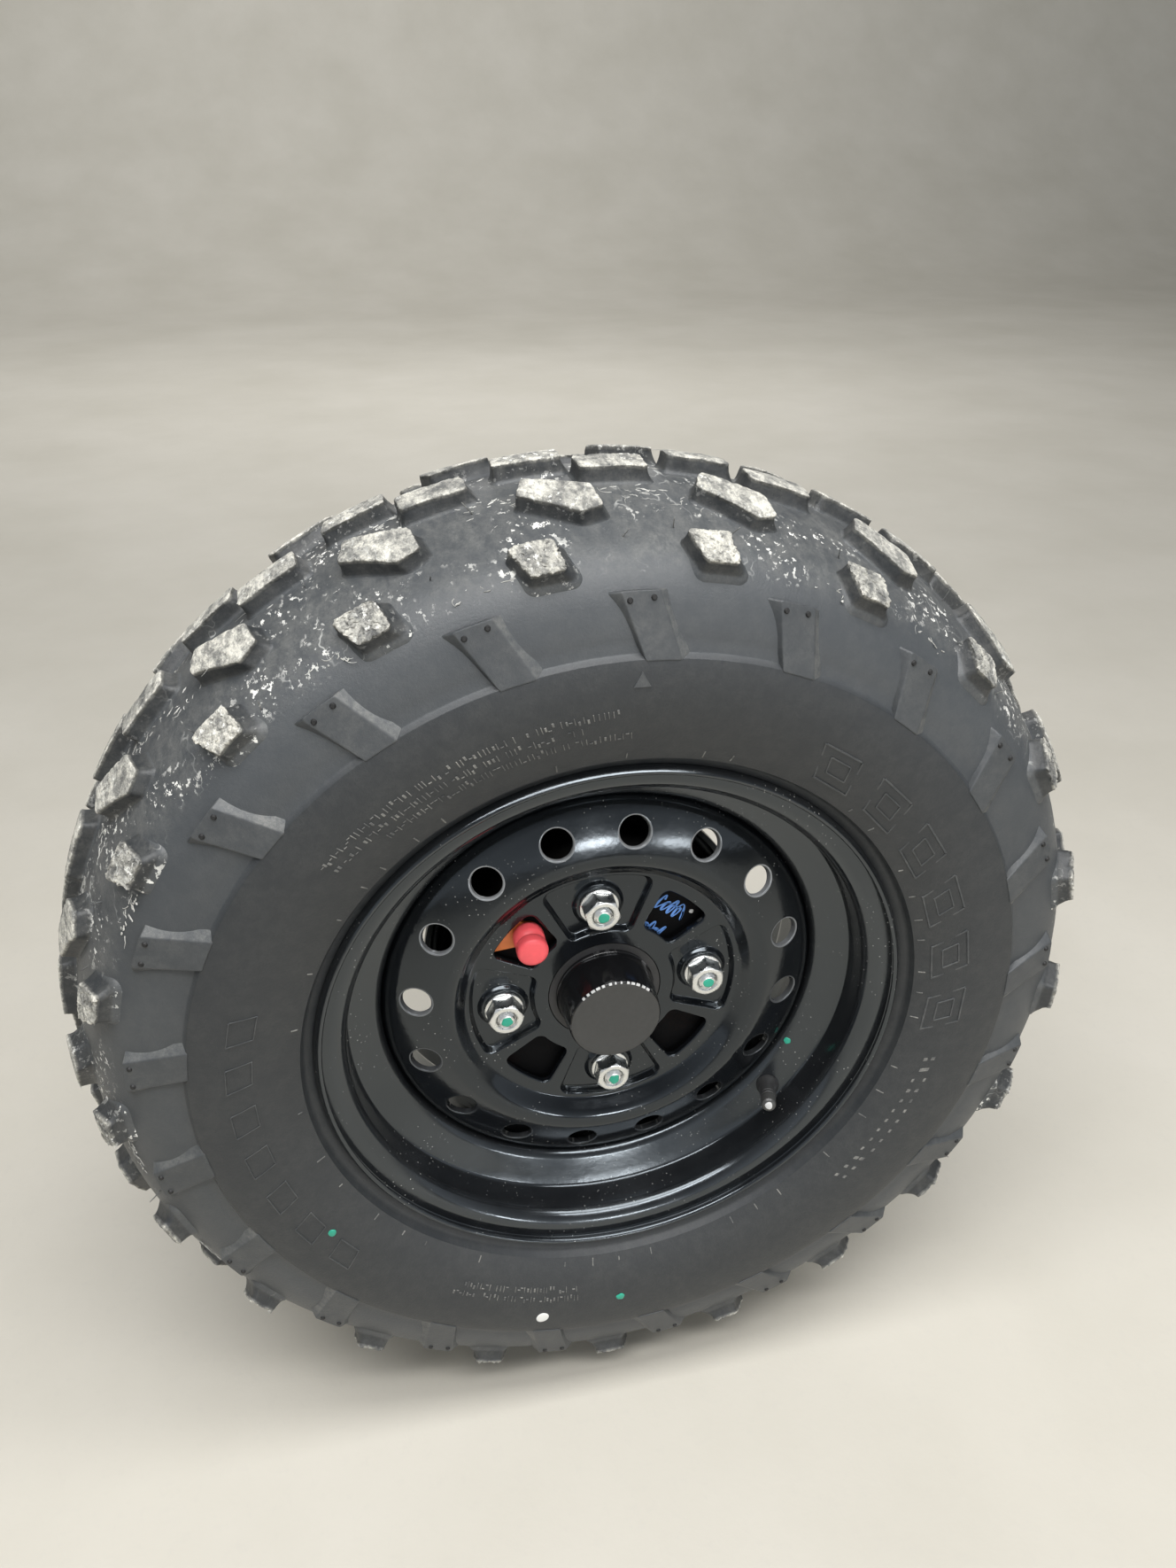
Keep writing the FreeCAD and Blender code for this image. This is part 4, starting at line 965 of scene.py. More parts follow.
def in_outline(points, line):
    """Whether flat places lie inside a closed line."""
    inside = np.zeros(len(points), bool)
    for a, b in zip(line, np.roll(line, -1, axis=0)):
        crosses = (a[1] > points[:, 1]) != (b[1] > points[:, 1])
        rise = b[1] - a[1] if abs(b[1] - a[1]) > 1e-12 else 1e-12
        inside ^= crosses & (points[:, 0] < a[0] + (points[:, 1] - a[1]) * (b[0] - a[0]) / rise)
    return inside


def disc_triangles(bounds, inner):
    """Triangles over the disc's face: flat places, faces, and the numbers of each bound's places."""
    flat = np.vstack(bounds + inner + [disc_points(bounds + inner)])
    edges, members, first = [], [], 0
    for loop in bounds:
        ids = np.arange(first, first + len(loop))
        members.append(ids.tolist())
        edges += zip(ids.tolist(), np.roll(ids, -1).tolist())
        first += len(loop)
    made = geometry.delaunay_2d_cdt([Vector(p) for p in flat.tolist()], edges, [], 0, 1e-6)
    places = np.array([tuple(v) for v in made[0]])
    faces = np.array(made[2])
    middle = places[faces].mean(1)
    keep = np.hypot(*middle.T) < EDGE_RADIUS
    for loop in bounds[1:]:
        at = np.flatnonzero((middle > loop.min(0)).all(1) & (middle < loop.max(0)).all(1))
        keep[at[in_outline(middle[at], loop)]] = False
    new_id = {old: new for new, olds in enumerate(made[3]) for old in olds}
    return places, faces[keep], [np.array([new_id[i] for i in ids]) for ids in members]


def into_hole(ring):
    """Directions into a hole at each place of the flat line round it."""
    flat = outward(ring)
    flat *= -np.sign(np.sum(flat * (ring - ring.mean(0))))
    return np.insert(flat, 1, 0.0, axis=1)


def quads_between(rows):
    """What the four corners of each quad hold, from rows of values that close round."""
    after = np.roll(rows, -1, axis=1)
    quads = np.stack([rows[:-1], rows[1:], after[1:], after[:-1]], 2)
    return quads.reshape(-1, 4, *rows.shape[2:])


def skirt_lines():
    """The skirt's (y, radius) line from the face's edge to its end, and the normals along it."""
    skirt = FACE_LINE[:EDGE_POINT + 1][::-1]
    skirt = skirt[np.r_[0:len(skirt):12, len(skirt) - 1]]
    lean = np.gradient(skirt, axis=0)
    lean /= np.hypot(*lean.T)[:, None]
    lean = np.stack([-lean[:, 1], lean[:, 0]], -1)
    return skirt, lean * np.sign(lean[-1, 1])


def faced(points, blocks):
    """Faces and corner normals from blocks of both, each face turned to agree with its normals."""
    faces, normals = [], []
    for ids, corner in blocks:
        a, b, c = points[ids[:, :3]].transpose(1, 0, 2)
        wrong = (np.cross(b - a, c - a) * corner.sum(1)).sum(1) < 0
        ids[wrong] = ids[wrong][:, ::-1]
        corner[wrong] = corner[wrong][:, ::-1]
        faces += ids.tolist()
        normals += corner.reshape(-1, 3).tolist()
    return faces, normals


def disc_piece():
    """Pressed disc: a face with vents, windows, pockets and nut seats, its back and its skirt."""
    places, faces, rings = disc_triangles(*disc_loops())
    total = len(places)
    top_normal, back_normal = disc_normal(places), -disc_normal(places, False)
    points = [np.insert(places, 1, disc_height(places), axis=1),
              np.insert(places, 1, disc_height(places, False), axis=1) + back_normal * DISC_SHEET]
    edge, bore, *holes = rings
    blocks = []
    for ids in [bore] + holes:
        inward = into_hole(places[ids])
        if ids is not bore:
            top_normal[ids] = inward
        wall = np.stack([ids, ids + total])
        blocks.append((quads_between(wall), quads_between(np.stack([inward, inward]))))
    blocks += [(faces, top_normal[faces]), (faces + total, back_normal[faces])]
    skirt, lean = skirt_lines()
    turn = np.degrees(np.arctan2(places[edge, 1], places[edge, 0]))
    ends = []
    for side, first, sign in ((skirt, edge, 1), (skirt - lean * DISC_SHEET, edge + total, -1)):
        rows = np.array([around(radius, turn, y) for y, radius in side[1:]])
        base = sum(len(p) for p in points)
        ids = np.vstack([first, base + np.arange(rows[..., 0].size).reshape(rows.shape[:2])])
        normal = np.array([around(out, turn, y) for y, out in lean]) * sign
        points.append(rows.reshape(-1, 3))
        blocks.append((quads_between(ids), quads_between(normal)))
        ends.append(ids[-1])
    blocks.append((quads_between(np.stack(ends)), np.tile((0.0, 1.0, 0.0), (len(edge), 4, 1))))
    points = np.vstack(points)
    # Pale vent edges: partly worn paint and partly a painted highlight, made stronger towards the top of the
    # disc, where the light falls.
    paler = share_between(vent_distance(points[:, ::2]), 1.15, 0.95)
    paler *= np.clip(0.45 + 0.75 * points[:, 2] / VENT_CIRCLE, 0.08, 1.0)
    faces, normals = faced(points, blocks)
    return new_mesh("disc", points, faces, values={"edge": paler}, normals=normals)


# Fittings

def spokes_round(axis, guide, steps):
    """Turns evenly spaced round an axis of length 1, and the directions that they point in."""
    first = np.cross(axis, guide)
    first /= np.linalg.norm(first)
    turns = np.arange(steps) * 2 * math.pi / steps
    return turns, np.cos(turns)[:, None] * first + np.sin(turns)[:, None] * np.cross(axis, first)


def spun(centre, axis, profile, steps=96):
    """Points and faces of a (distance along the axis, radius) outline turned round any axis."""
    axis = np.array(axis, float) / np.linalg.norm(axis)
    profile = np.asarray(profile, float)
    _, spokes = spokes_round(axis, (0.0, 0.0, 1.0), steps)
    points = np.asarray(centre, float) + profile[:, None, :1] * axis + profile[:, None, 1:] * spokes[None]
    return points.reshape(-1, 3), grid_faces(len(profile), steps)


def joined(parts):
    """Several (points, faces) pairs as one."""
    points, faces, first = [], [], 0
    for some_points, some_faces in parts:
        points.append(some_points)
        faces += [tuple(i + first for i in face) for face in some_faces]
        first += len(some_points)
    return np.vstack(points), faces


def bolt_centre(k, y):
    """Centre of a wheel stud at a depth."""
    return around(BOLT_CIRCLE, BOLT_ANGLE + k * 360.0 / BOLTS, y)


HUB_FACE = WEB_PLANE + DISC_SHEET + POCKET_DEPTH
DRUM_FACE = 5.0
HUB_FLANGE = 9.0
# Nuts and studs
NUT_SEAT = POCKET_FLOOR - SEAT_RISE
NUT_FLANGE = 1.8
NUT_HEIGHT = 9.0
NUT_FLATS = 17.0
NUT_STEPS = 144
NUT_END = NUT_SEAT - NUT_FLANGE - NUT_HEIGHT
STUD_PROUD = 1.2
STUD_RADIUS = 5.0
THREAD_PITCH = 1.25
THREAD_ROOT = 4.3


def nut_shape(k):
    """Hexagon nut with cut corners, a round flange, a cone seat and a countersunk bore."""
    own_turn = math.radians(17.0 * k)
    turns = np.arange(NUT_STEPS) * 2 * math.pi / NUT_STEPS + own_turn
    fold = (np.degrees(turns - own_turn) + 30.0) % 60.0 - 30.0
    flats = NUT_FLATS / 2
    hexagon = np.minimum(flats / np.cos(np.radians(fold)), flats * 1.135)
    rows = [(y, np.minimum(hexagon, limit)) for y, limit in (
        (1.6, STUD_RADIUS + 0.12), (0.9, STUD_RADIUS + 0.15), (0.25, STUD_RADIUS + 0.85),
        (0.0, STUD_RADIUS + 1.2), (0.0, flats - 1.5), (0.0, flats - 0.55), (0.12, flats - 0.2),
        (0.35, flats + 0.2), (0.6, flats + 0.55), (0.9, flats + 0.95), (1.3, flats + 1.4),
        (2.2, 20.0), (4.0, 20.0), (6.0, 20.0), (8.0, 20.0), (8.45, 20.0))]
    rows += [(8.8, hexagon + 0.25), (9.0, np.minimum(hexagon + 0.7, 10.2))]
    rows += [(y, np.full(NUT_STEPS, radius)) for y, radius in (
        (9.05, 9.9), (9.15, 10.2), (9.45, 10.42), (9.8, 10.5), (10.3, 10.5), (10.6, 10.4),
        (10.8, 10.0), (10.85, 9.0), (12.6, 7.2))]
    out = [np.stack([radius * np.cos(turns), np.full(NUT_STEPS, y), radius * np.sin(turns)], -1)
           for y, radius in rows]
    return bolt_centre(k, NUT_END) + np.vstack(out), grid_faces(len(rows), NUT_STEPS)


def stud_piece(k):
    """Wheel stud: a rounded tip, thread crests, a plain shank and a head behind the hub's flange."""
    profile = [(0.0, 0.01), (0.0, 2.6), (0.15, 3.4), (0.6, 4.05)]
    for at in 0.9 + np.arange(12) * THREAD_PITCH:
        profile += [(at, THREAD_ROOT), (at + 0.45, STUD_RADIUS - 0.05), (at + 0.65, STUD_RADIUS - 0.05),
                    (at + 1.1, THREAD_ROOT)]
    start = NUT_END - STUD_PROUD
    back = HUB_FACE + DRUM_FACE + HUB_FLANGE - start
    profile += [(16.4, STUD_RADIUS - 0.02), (back, STUD_RADIUS - 0.02), (back, 7.7), (back + 0.3, 8.0),
                (back + 3.3, 8.0), (back + 4.0, 7.2), (back + 4.0, 0.01)]
    points, faces = spun(bolt_centre(k, start), (0, 1, 0), profile, 48)
    return tidy_mesh(new_mesh(f"stud_{k + 1}_threaded", points, faces), 40)


def nuts_piece():
    """Four wheel nuts."""
    points, faces = joined([nut_shape(k) for k in range(BOLTS)])
    return tidy_mesh(new_mesh("nuts", points, faces), 28)


CAP_FACE = WEB_PLANE - 25.0
CAP_RADIUS = 24.3
CAP_FOOT = 26.8
CAP_BEND = 1.4
CAP_STEPS = 240


def cap_piece():
    """Centre cap: a cup with a soft edge, a shallow dished face and a foot on the hub."""
    reach = WEB_PLANE - CAP_FACE
    profile = [(0.35, 0.01), (0.35, 6.0), (0.34, 12.0), (0.3, 17.0), (0.12, 20.0), (0.0, 21.6), (0.02, 22.4),
               (0.1, 22.9)]
    profile += [(CAP_BEND * (1 - math.cos(a)), 22.9 + CAP_BEND * math.sin(a))
                for a in np.radians((15, 30, 45, 60, 75, 90))]
    profile += [(y, CAP_RADIUS + (CAP_FOOT - 0.5 - CAP_RADIUS) * y / reach)
                for y in np.linspace(2.4, reach - 2.2, 10)]
    profile += [(reach - 1.8, 26.45), (reach - 1.5, CAP_FOOT), (reach, CAP_FOOT), (reach, CAP_FOOT - 2.2)]
    points, faces = spun((0, CAP_FACE, 0), (0, 1, 0), profile, CAP_STEPS)
    face = [float(y < 0.5 and radius < 23.5) for y, radius in profile]
    return tidy_mesh(new_mesh("cap", points, faces + [tuple(range(CAP_STEPS))],
                              values={"face": np.repeat(face, CAP_STEPS)}), 38)


def cap_edge_glints():
    """Short raised bars along the upper part of the cap's edge, drawn in pale silver as painted glints of the
    light on that edge.
    """
    parts = []
    chance = random.Random(5)
    for k in range(13):
        angle = 45.0 + 7.6 * k + chance.uniform(-0.9, 0.9)
        half = math.degrees(chance.choice((0.9, 1.5, 2.1)) / 2 / 24.0)
        corners = [around(radius, angle + way * half, CAP_FACE + y)
                   for radius, y in ((23.2, 0.05), (23.4, -0.2), (24.05, 0.02), (24.4, 0.7))
                   for way in (-1, 1)]
        parts.append((np.array(corners), BAR_FACES))
    points, faces = joined(parts)
    return tidy_mesh(new_mesh("cap_edge_glints", points, faces), 20)


PLUG_ANGLE = 135.3
PLUG_CIRCLE = 56.6
TAB_THICKNESS = 1.5
TAB_ROUND = 7.0
PLUG_REACH = 18.0


def plug_piece():
    """Rubber plug: a flange on the tab, a waist and a rounded head."""
    seat = around(PLUG_CIRCLE, PLUG_ANGLE, HUB_FACE - TAB_THICKNESS)
    head = -PLUG_REACH
    profile = [(head, 0.01), (head, 4.0), (head + 0.1, 6.2), (head + 0.5, 7.2), (head + 1.2, 7.9),
               (head + 2.2, 8.2), (head + 5.8, 8.2), (head + 6.8, 7.9), (head + 7.6, 7.2), (head + 8.5, 6.6),
               (head + 9.4, 7.2), (head + 10.3, 7.9), (head + 11.4, 8.2), (-2.4, 8.2), (-1.2, 8.0),
               (-0.4, 7.6), (0.0, 7.0), (0.1, 6.4), (6.4, 6.4)]
    points, faces = spun(seat, (0, 1, 0), profile, 96)
    piece = new_mesh("plug", points, faces + [tuple(range(96))])
    return tidy_mesh(piece, 40)


def tab_piece():
    """Thin tab with a round end, held under the plug."""
    centre = around(PLUG_CIRCLE, PLUG_ANGLE, 0)[[0, 2]]
    end = TAB_ROUND
    outline = [(-20.0, -9.0), (-13.0, 10.5), (0.0, end)]
    outline += [(end * math.sin(a), end * math.cos(a)) for a in np.radians(np.linspace(10, 170, 17))]
    outline += [(0.0, -end)]
    outline = np.array(outline) + centre
    count = len(outline)
    near = np.insert(outline, 1, HUB_FACE - TAB_THICKNESS, axis=1)
    far = np.insert(outline, 1, HUB_FACE - 0.02, axis=1)
    faces = [tuple(range(count)), tuple(range(2 * count - 1, count - 1, -1))]
    faces += [(k, (k + 1) % count, count + (k + 1) % count, count + k) for k in range(count)]
    return tidy_mesh(new_mesh("tab", np.vstack([near, far]), faces), 30)


VALVE_ANGLE = -41.0
VALVE_SHARE = 0.45
VALVE_REACH = 27.0


def valve_axis():
    """Middle of the valve hole in the rim's sloping wall, and the direction out of it."""
    run = WELL_START - LIP_REACH - BEAD_SEAT
    slope = math.hypot(run, WELL_DEPTH)
    radius = BEAD_RADIUS - RIM_SHEET / 2 - WELL_DEPTH * VALVE_SHARE
    centre = around(radius, VALVE_ANGLE, LIP_REACH + BEAD_SEAT + run * VALVE_SHARE)
    return centre, around(-run / slope, VALVE_ANGLE, -WELL_DEPTH / slope)


def valve_stem_piece():
    """Snap-in rubber stem with a bulb behind the rim and a ringed neck."""
    centre, out = valve_axis()
    profile = [(-6.2, 3.0), (-6.25, 5.2), (-5.4, 6.4), (-2.4, 6.5), (-1.5, 5.8), (-1.2, 5.5), (1.2, 5.5),
               (1.4, 6.5), (2.2, 6.6), (3.4, 6.2), (6.0, 5.2), (9.0, 4.7), (14.2, 4.5), (14.5, 4.4),
               (14.8, 4.0), (15.1, 4.0), (15.4, 4.4), (17.2, 4.35), (17.5, 4.0), (17.5, 3.2)]
    points, faces = spun(centre, out, profile, 72)
    return tidy_mesh(new_mesh("stem", points, faces), 35)


def valve_cap_piece():
    """Valve cap with grip ribs; the pale dab on its end is made apart from it."""
    centre, out = valve_axis()
    steps = 96
    profile = [(17.5, 3.3), (17.5, 3.9), (17.8, 4.15), (18.6, 4.2), (24.8, 4.15), (25.8, 3.9), (26.5, 3.2),
               (VALVE_REACH - 0.1, 2.2), (VALVE_REACH, 0.01)]
    points, faces = spun(centre, out, profile, steps)
    grid = points.reshape(len(profile), steps, 3)
    along = centre + np.array([p[0] for p in profile])[:, None, None] * out
    groove = 1.0 - 0.055 * (np.arange(steps) % 6 < 2)
    for row in (3, 4):
        grid[row] = along[row] + (grid[row] - along[row]) * groove[:, None]
    return tidy_mesh(new_mesh("valve_cap_ribbed", grid.reshape(-1, 3), faces), 30)


def dab(centre, normal, radius, height, seed, name):
    """A domed drop of paint or dirt with an uneven edge."""
    chance = random.Random(seed)
    normal = np.array(normal, float) / np.linalg.norm(normal)
    steps = 28
    turns, spokes = spokes_round(normal, (0.31, 0.2, 0.93), steps)
    waves = sum(chance.uniform(0, 0.09) * np.sin(n * turns + chance.uniform(0, 6)) for n in (2, 3, 5))
    levels_up = ((1.04, -0.25), (1.0, 0.1), (0.92, 0.5), (0.75, 0.8), (0.45, 0.96), (0.03, 1.0))
    points = np.vstack([centre + (radius * share * (1 + waves))[:, None] * spokes + normal * height * up
                        for share, up in levels_up])
    top = tuple(range(len(points) - steps, len(points)))
    return tidy_mesh(new_mesh(name, points, grid_faces(len(levels_up), steps) + [top]), 60)


def paint_strokes():
    """Two quick blue chalk scribbles on the drum, seen through a window: curls with no meaning."""
    parts = []
    turn = math.radians(-38.0)
    along, up = np.array([math.cos(turn), math.sin(turn)]), np.array([-math.sin(turn), math.cos(turn)])
    t = np.linspace(0, 1, 160)
    for origin, size, seed in (((38.0, 43.0), 17.0, 2), ((27.0, 30.8), 13.0, 4)):
        ease = random.Random(seed).uniform(0, 3)
        reach = size * (t - 0.5) + 2.0 * np.sin(t * 27.0 + seed)
        rise = 3.4 * np.sin(t * 31.0 + 0.7) + 1.5 * np.sin(t * 47.0)
        line = np.array(origin) + reach[:, None] * along + rise[:, None] * up
        ahead = np.gradient(line, axis=0)
        ahead /= np.hypot(*ahead.T)[:, None]
        side = np.stack([-ahead[:, 1], ahead[:, 0]], -1)
        wide = 0.85 * (0.75 + 0.25 * np.sin(t * 55.0 + ease))[:, None]
        rows = [np.insert(line + side * wide * s, 1, HUB_FACE - d, axis=1)
                for s, d in ((-1.0, -0.05), (-0.7, 0.12), (0.7, 0.12), (1.0, -0.05))]
        parts.append((np.vstack(rows), grid_faces(4, len(t), close_columns=False)))
    points, faces = joined(parts)
    return tidy_mesh(new_mesh("drum_scribble", points, faces), 60)


# Finishes

def add(material, kind, settings=None, **inputs):
    """Adds a shader node; an input is a value or another node's output."""
    node = material.node_tree.nodes.new(kind)
    for key, value in (settings or {}).items():
        setattr(node, key, value)
    for key, value in inputs.items():
        key = int(key[1:]) if key[0] == "_" and key[1:].isdigit() else key.replace("_", " ")
        if isinstance(value, bpy.types.NodeSocket):
            material.node_tree.links.new(value, node.inputs[key])
        else:
            node.inputs[key].default_value = value
    return node


def plain(name, colour, roughness, metallic=0.0, **more):
    """A material with one principled surface; gives it and that node."""
    material = bpy.data.materials.new(name)
    material.use_nodes = True
    surface = material.node_tree.nodes["Principled BSDF"]
    surface.inputs["Base Color"].default_value = (*colour, 1)
    surface.inputs["Roughness"].default_value = roughness
    surface.inputs["Metallic"].default_value = metallic
    for key, value in more.items():
        surface.inputs[key.replace("_", " ")].default_value = value
    return material, surface


def link(material, output, socket):
    """Joins a node's output to an input."""
    material.node_tree.links.new(output, socket)


def object_noise(material, scale, detail=4.0, roughness=0.6, stretch=(1, 1, 1), shift=(0, 0, 0)):
    """Noise in object space, which is the row frame in metres."""
    where = add(material, "ShaderNodeTexCoord").outputs["Object"]
    moved = add(material, "ShaderNodeMapping", Vector=where, Scale=stretch, Location=shift).outputs[0]
    return add(material, "ShaderNodeTexNoise", Vector=moved, Scale=scale, Detail=detail,
               Roughness=roughness).outputs["Fac"]


def levels(material, value, low, high, to_low=0.0, to_high=1.0):
    """Stretches a value between two levels."""
    node = add(material, "ShaderNodeMapRange", Value=value, From_Min=low, From_Max=high, To_Min=to_low,
               To_Max=to_high)
    return node.outputs[0]


def combine(material, kind, a, b, clamp=False):
    """One sum on two values."""
    node = add(material, "ShaderNodeMath", {"operation": kind, "use_clamp": clamp}, _0=a, _1=b)
    return node.outputs[0]


def times(material, first, *others, clamp=False):
    """The product of several values, in their order; clamp holds the last product to 1."""
    for k, other in enumerate(others, start=1):
        first = combine(material, "MULTIPLY", first, other, clamp and k == len(others))
    return first


def blend(material, share, a, b):
    """Mixes two colours."""
    node = add(material, "ShaderNodeMix", {"data_type": "RGBA"})
    for index, value in ((0, share), (6, a), (7, b)):
        if isinstance(value, bpy.types.NodeSocket):
            link(material, value, node.inputs[index])
        else:
            node.inputs[index].default_value = value if index == 0 else (*value, 1)
    return node.outputs[2]


def bumped(material, surface, height, distance, strength=1.0, normal=None):
    """Puts a bump on a surface; distance in metres."""
    node = add(material, "ShaderNodeBump", Height=height, Distance=distance, Strength=strength)
    if normal:
        link(material, normal, node.inputs["Normal"])
    link(material, node.outputs[0], surface.inputs["Normal"])
    return node.outputs[0]


def rubber():
    """Black tyre rubber: greyer as painted light on the panels above the ridge, the fins and the marks, and
    darker as painted shade on the lug flanks; pale where a second value says, which is settled dirt on the
    tread and painted highlights on fin facets and small marks; scuffed where "tread" says.
    """
    material, surface = plain("tyre rubber", (0.0215, 0.0232, 0.0245), 0.5)
    dust_and_highlight, tread, painted_light = (add(material, "ShaderNodeAttribute", {"attribute_name": name}).outputs["Fac"]
                          for name in ("dust_and_highlight", "tread", "painted_light"))
    flat = (1.0, 0.5, 1.0)
    broad = object_noise(material, 14.0, 5.0, 0.62)
    crumbs = object_noise(material, 800.0, 5.0, 0.7)
    chunks = object_noise(material, 210.0, 6.0, 0.72, (1.0, 0.6, 1.0), (4, 4, 1))
    smear = object_noise(material, 75.0, 6.0, 0.7, flat)
    # Painted light and shade: the greyer colour stands for light falling on upward-facing rubber, and its
    # absence darkens the lug flanks as shade.
    painted_light_mix = times(material, painted_light, levels(material, broad, 0.25, 0.75, 0.7, 1.0))
    colour = blend(material, painted_light_mix, (0.0208, 0.0238, 0.0268), (0.056, 0.0615, 0.0668))
    amount = times(material, dust_and_highlight, levels(material, broad, 0.3, 0.68, 0.7, 1.2),
                   levels(material, smear, 0.36, 0.6, 0.3, 1.15),
                   levels(material, crumbs, 0.36, 0.6, 0.62, 1.15),
                   levels(material, chunks, 0.38, 0.56, 0.35, 1.2), clamp=True)
    colour = blend(material, amount, colour, (0.72, 0.695, 0.615))
    winding = combine(material, "SUBTRACT", object_noise(material, 55.0, 3.0, 0.5, flat, (5, 2, 1)), 0.5)
    line = combine(material, "ABSOLUTE", winding, 0.0)
    here = object_noise(material, 24.0, 3.0, 0.5, shift=(1, 8, 3))
    scratch = times(material, levels(material, line, 0.0, 0.011, 1.0, 0.0), tread,
                    levels(material, here, 0.54, 0.64, 0.0, 0.5))
    colour = blend(material, scratch, colour, (0.72, 0.72, 0.68))
    chips = object_noise(material, 330.0, 4.0, 0.65, (1.0, 0.7, 1.0), (2, 2, 9))
    patches = object_noise(material, 20.0, 3.0, 0.6, shift=(7, 1, 4))
    flakes = times(material, levels(material, chips, 0.585, 0.61), levels(material, patches, 0.5, 0.6), tread)
    colour = blend(material, flakes, colour, (0.78, 0.77, 0.72))
    link(material, colour, surface.inputs["Base Color"])
    link(material, levels(material, amount, 0.0, 0.5, 0.46, 0.9), surface.inputs["Roughness"])
    grain = bumped(material, surface, crumbs, 0.0004, 0.5)
    torn = times(material, chunks, times(material, dust_and_highlight, tread, clamp=True))
    bumped(material, surface, torn, 0.0035, 0.8, grain)
    return material


def black_coat(name="black coat", roughness=0.16, grain=0.3, paleness=0.02, gloss=0.95):
    """Glossy blue-black enamel with a slight orange peel, a settled pale film and specks of dirt, and pale
    hole edges that are partly worn paint and partly a painted highlight.
    """
    black = (0.004, 0.0048, 0.0062)
    material, surface = plain(name, black, roughness, Specular_IOR_Level=gloss,
                              Specular_Tint=(0.84, 0.93, 1.0, 1.0))
    peel = object_noise(material, 330.0, 2.0, 0.5)
    bumped(material, surface, peel, 0.00012, grain)
    haze = object_noise(material, 24.0, 5.0, 0.65)
    where = add(material, "ShaderNodeTexCoord").outputs["Object"]
    specks = add(material, "ShaderNodeTexVoronoi", Scale=340.0, Vector=where).outputs["Distance"]
    spot = times(material, levels(material, specks, 0.07, 0.14, 1.0, 0.0),
                 levels(material, haze, 0.48, 0.64, 0.0, 0.8))
    colour = blend(material, spot, black, (0.5, 0.5, 0.47))
    film = levels(material, haze, 0.3, 0.7, 0.3 * paleness, paleness)
    colour = blend(material, film, colour, (0.5, 0.5, 0.48))
    edge = add(material, "ShaderNodeAttribute", {"attribute_name": "edge"}).outputs["Fac"]
    # Pale hole edges: worn paint together with a painted highlight.
    paler = times(material, edge, levels(material, haze, 0.3, 0.6, 0.35, 0.8))
    link(material, blend(material, paler, colour, (0.42, 0.43, 0.44)), surface.inputs["Base Color"])
    link(material, levels(material, haze, 0.35, 0.7, roughness - 0.04, roughness + 0.1),
         surface.inputs["Roughness"])
    return material


def zinc():
    """Bright plated steel."""
    material, surface = plain("bright zinc", (0.78, 0.79, 0.78), 0.27, 1.0)
    cloud = object_noise(material, 260.0, 4.0, 0.6)
    link(material, levels(material, cloud, 0.3, 0.7, 0.2, 0.4), surface.inputs["Roughness"])
    bumped(material, surface, cloud, 0.00012, 0.4)
    return material


def moulded(name, colour, roughness, scale=500.0, depth=0.0001, change=0.12):
    """Plastic or rubber with an even colour, a faint cloud and a fine grain."""
    material, surface = plain(name, colour, roughness)
    cloud = object_noise(material, 45.0, 4.0)
    lighter = tuple(min(1.0, c * (1 + change) + 0.004) for c in colour)
    darker = tuple(c * (1 - change) for c in colour)
    link(material, blend(material, levels(material, cloud, 0.35, 0.65), darker, lighter),
         surface.inputs["Base Color"])
    bumped(material, surface, object_noise(material, scale, 3.0), depth, 0.5)
    return material


def cast_iron(name, colour, roughness, rust=0.0, gloss=0.5):
    """Sand-cast surface under thin paint, with a little rust."""
    material, surface = plain(name, colour, roughness, 0.1, Specular_IOR_Level=gloss)
    cloud = object_noise(material, 38.0, 6.0, 0.7)
    tone = blend(material, levels(material, cloud, 0.35, 0.68), tuple(c * 0.8 for c in colour),
                 tuple(c * 1.25 for c in colour))
    if rust:
        patches = object_noise(material, 22.0, 6.0, 0.72, shift=(3, 1, 7))
        stain = levels(material, patches, 0.52, 0.68, 0.0, rust)
        tone = blend(material, stain, tone, (0.16, 0.062, 0.026))
    link(material, tone, surface.inputs["Base Color"])
    bumped(material, surface, object_noise(material, 620.0, 4.0, 0.7), 0.00035, 0.6)
    return material


def cap_plastic():
    """Glossy black moulding with a matte grey face, and faint pale stripes down its side that are painted
    reflections.
    """
    material, surface = plain("cap plastic", (0.012, 0.012, 0.0125), 0.2)
    face = add(material, "ShaderNodeAttribute", {"attribute_name": "face"}).outputs["Fac"]
    grain = object_noise(material, 420.0, 4.0, 0.6)
    # Painted reflections: pale stripes running down the glossy side.
    glint_noise = object_noise(material, 150.0, 3.0, 0.6, (1.0, 0.06, 1.0))
    matte = blend(material, grain, (0.034, 0.034, 0.0325), (0.05, 0.05, 0.048))
    painted_glints = levels(material, glint_noise, 0.58, 0.7, 0.0, 0.25)
    side = blend(material, painted_glints, (0.006, 0.006, 0.0065), (0.3, 0.3, 0.3))
    link(material, blend(material, face, side, matte), surface.inputs["Base Color"])
    link(material, levels(material, face, 0.0, 1.0, 0.16, 0.55), surface.inputs["Roughness"])
    bumped(material, surface, grain, 0.0001, 0.4)
    return material


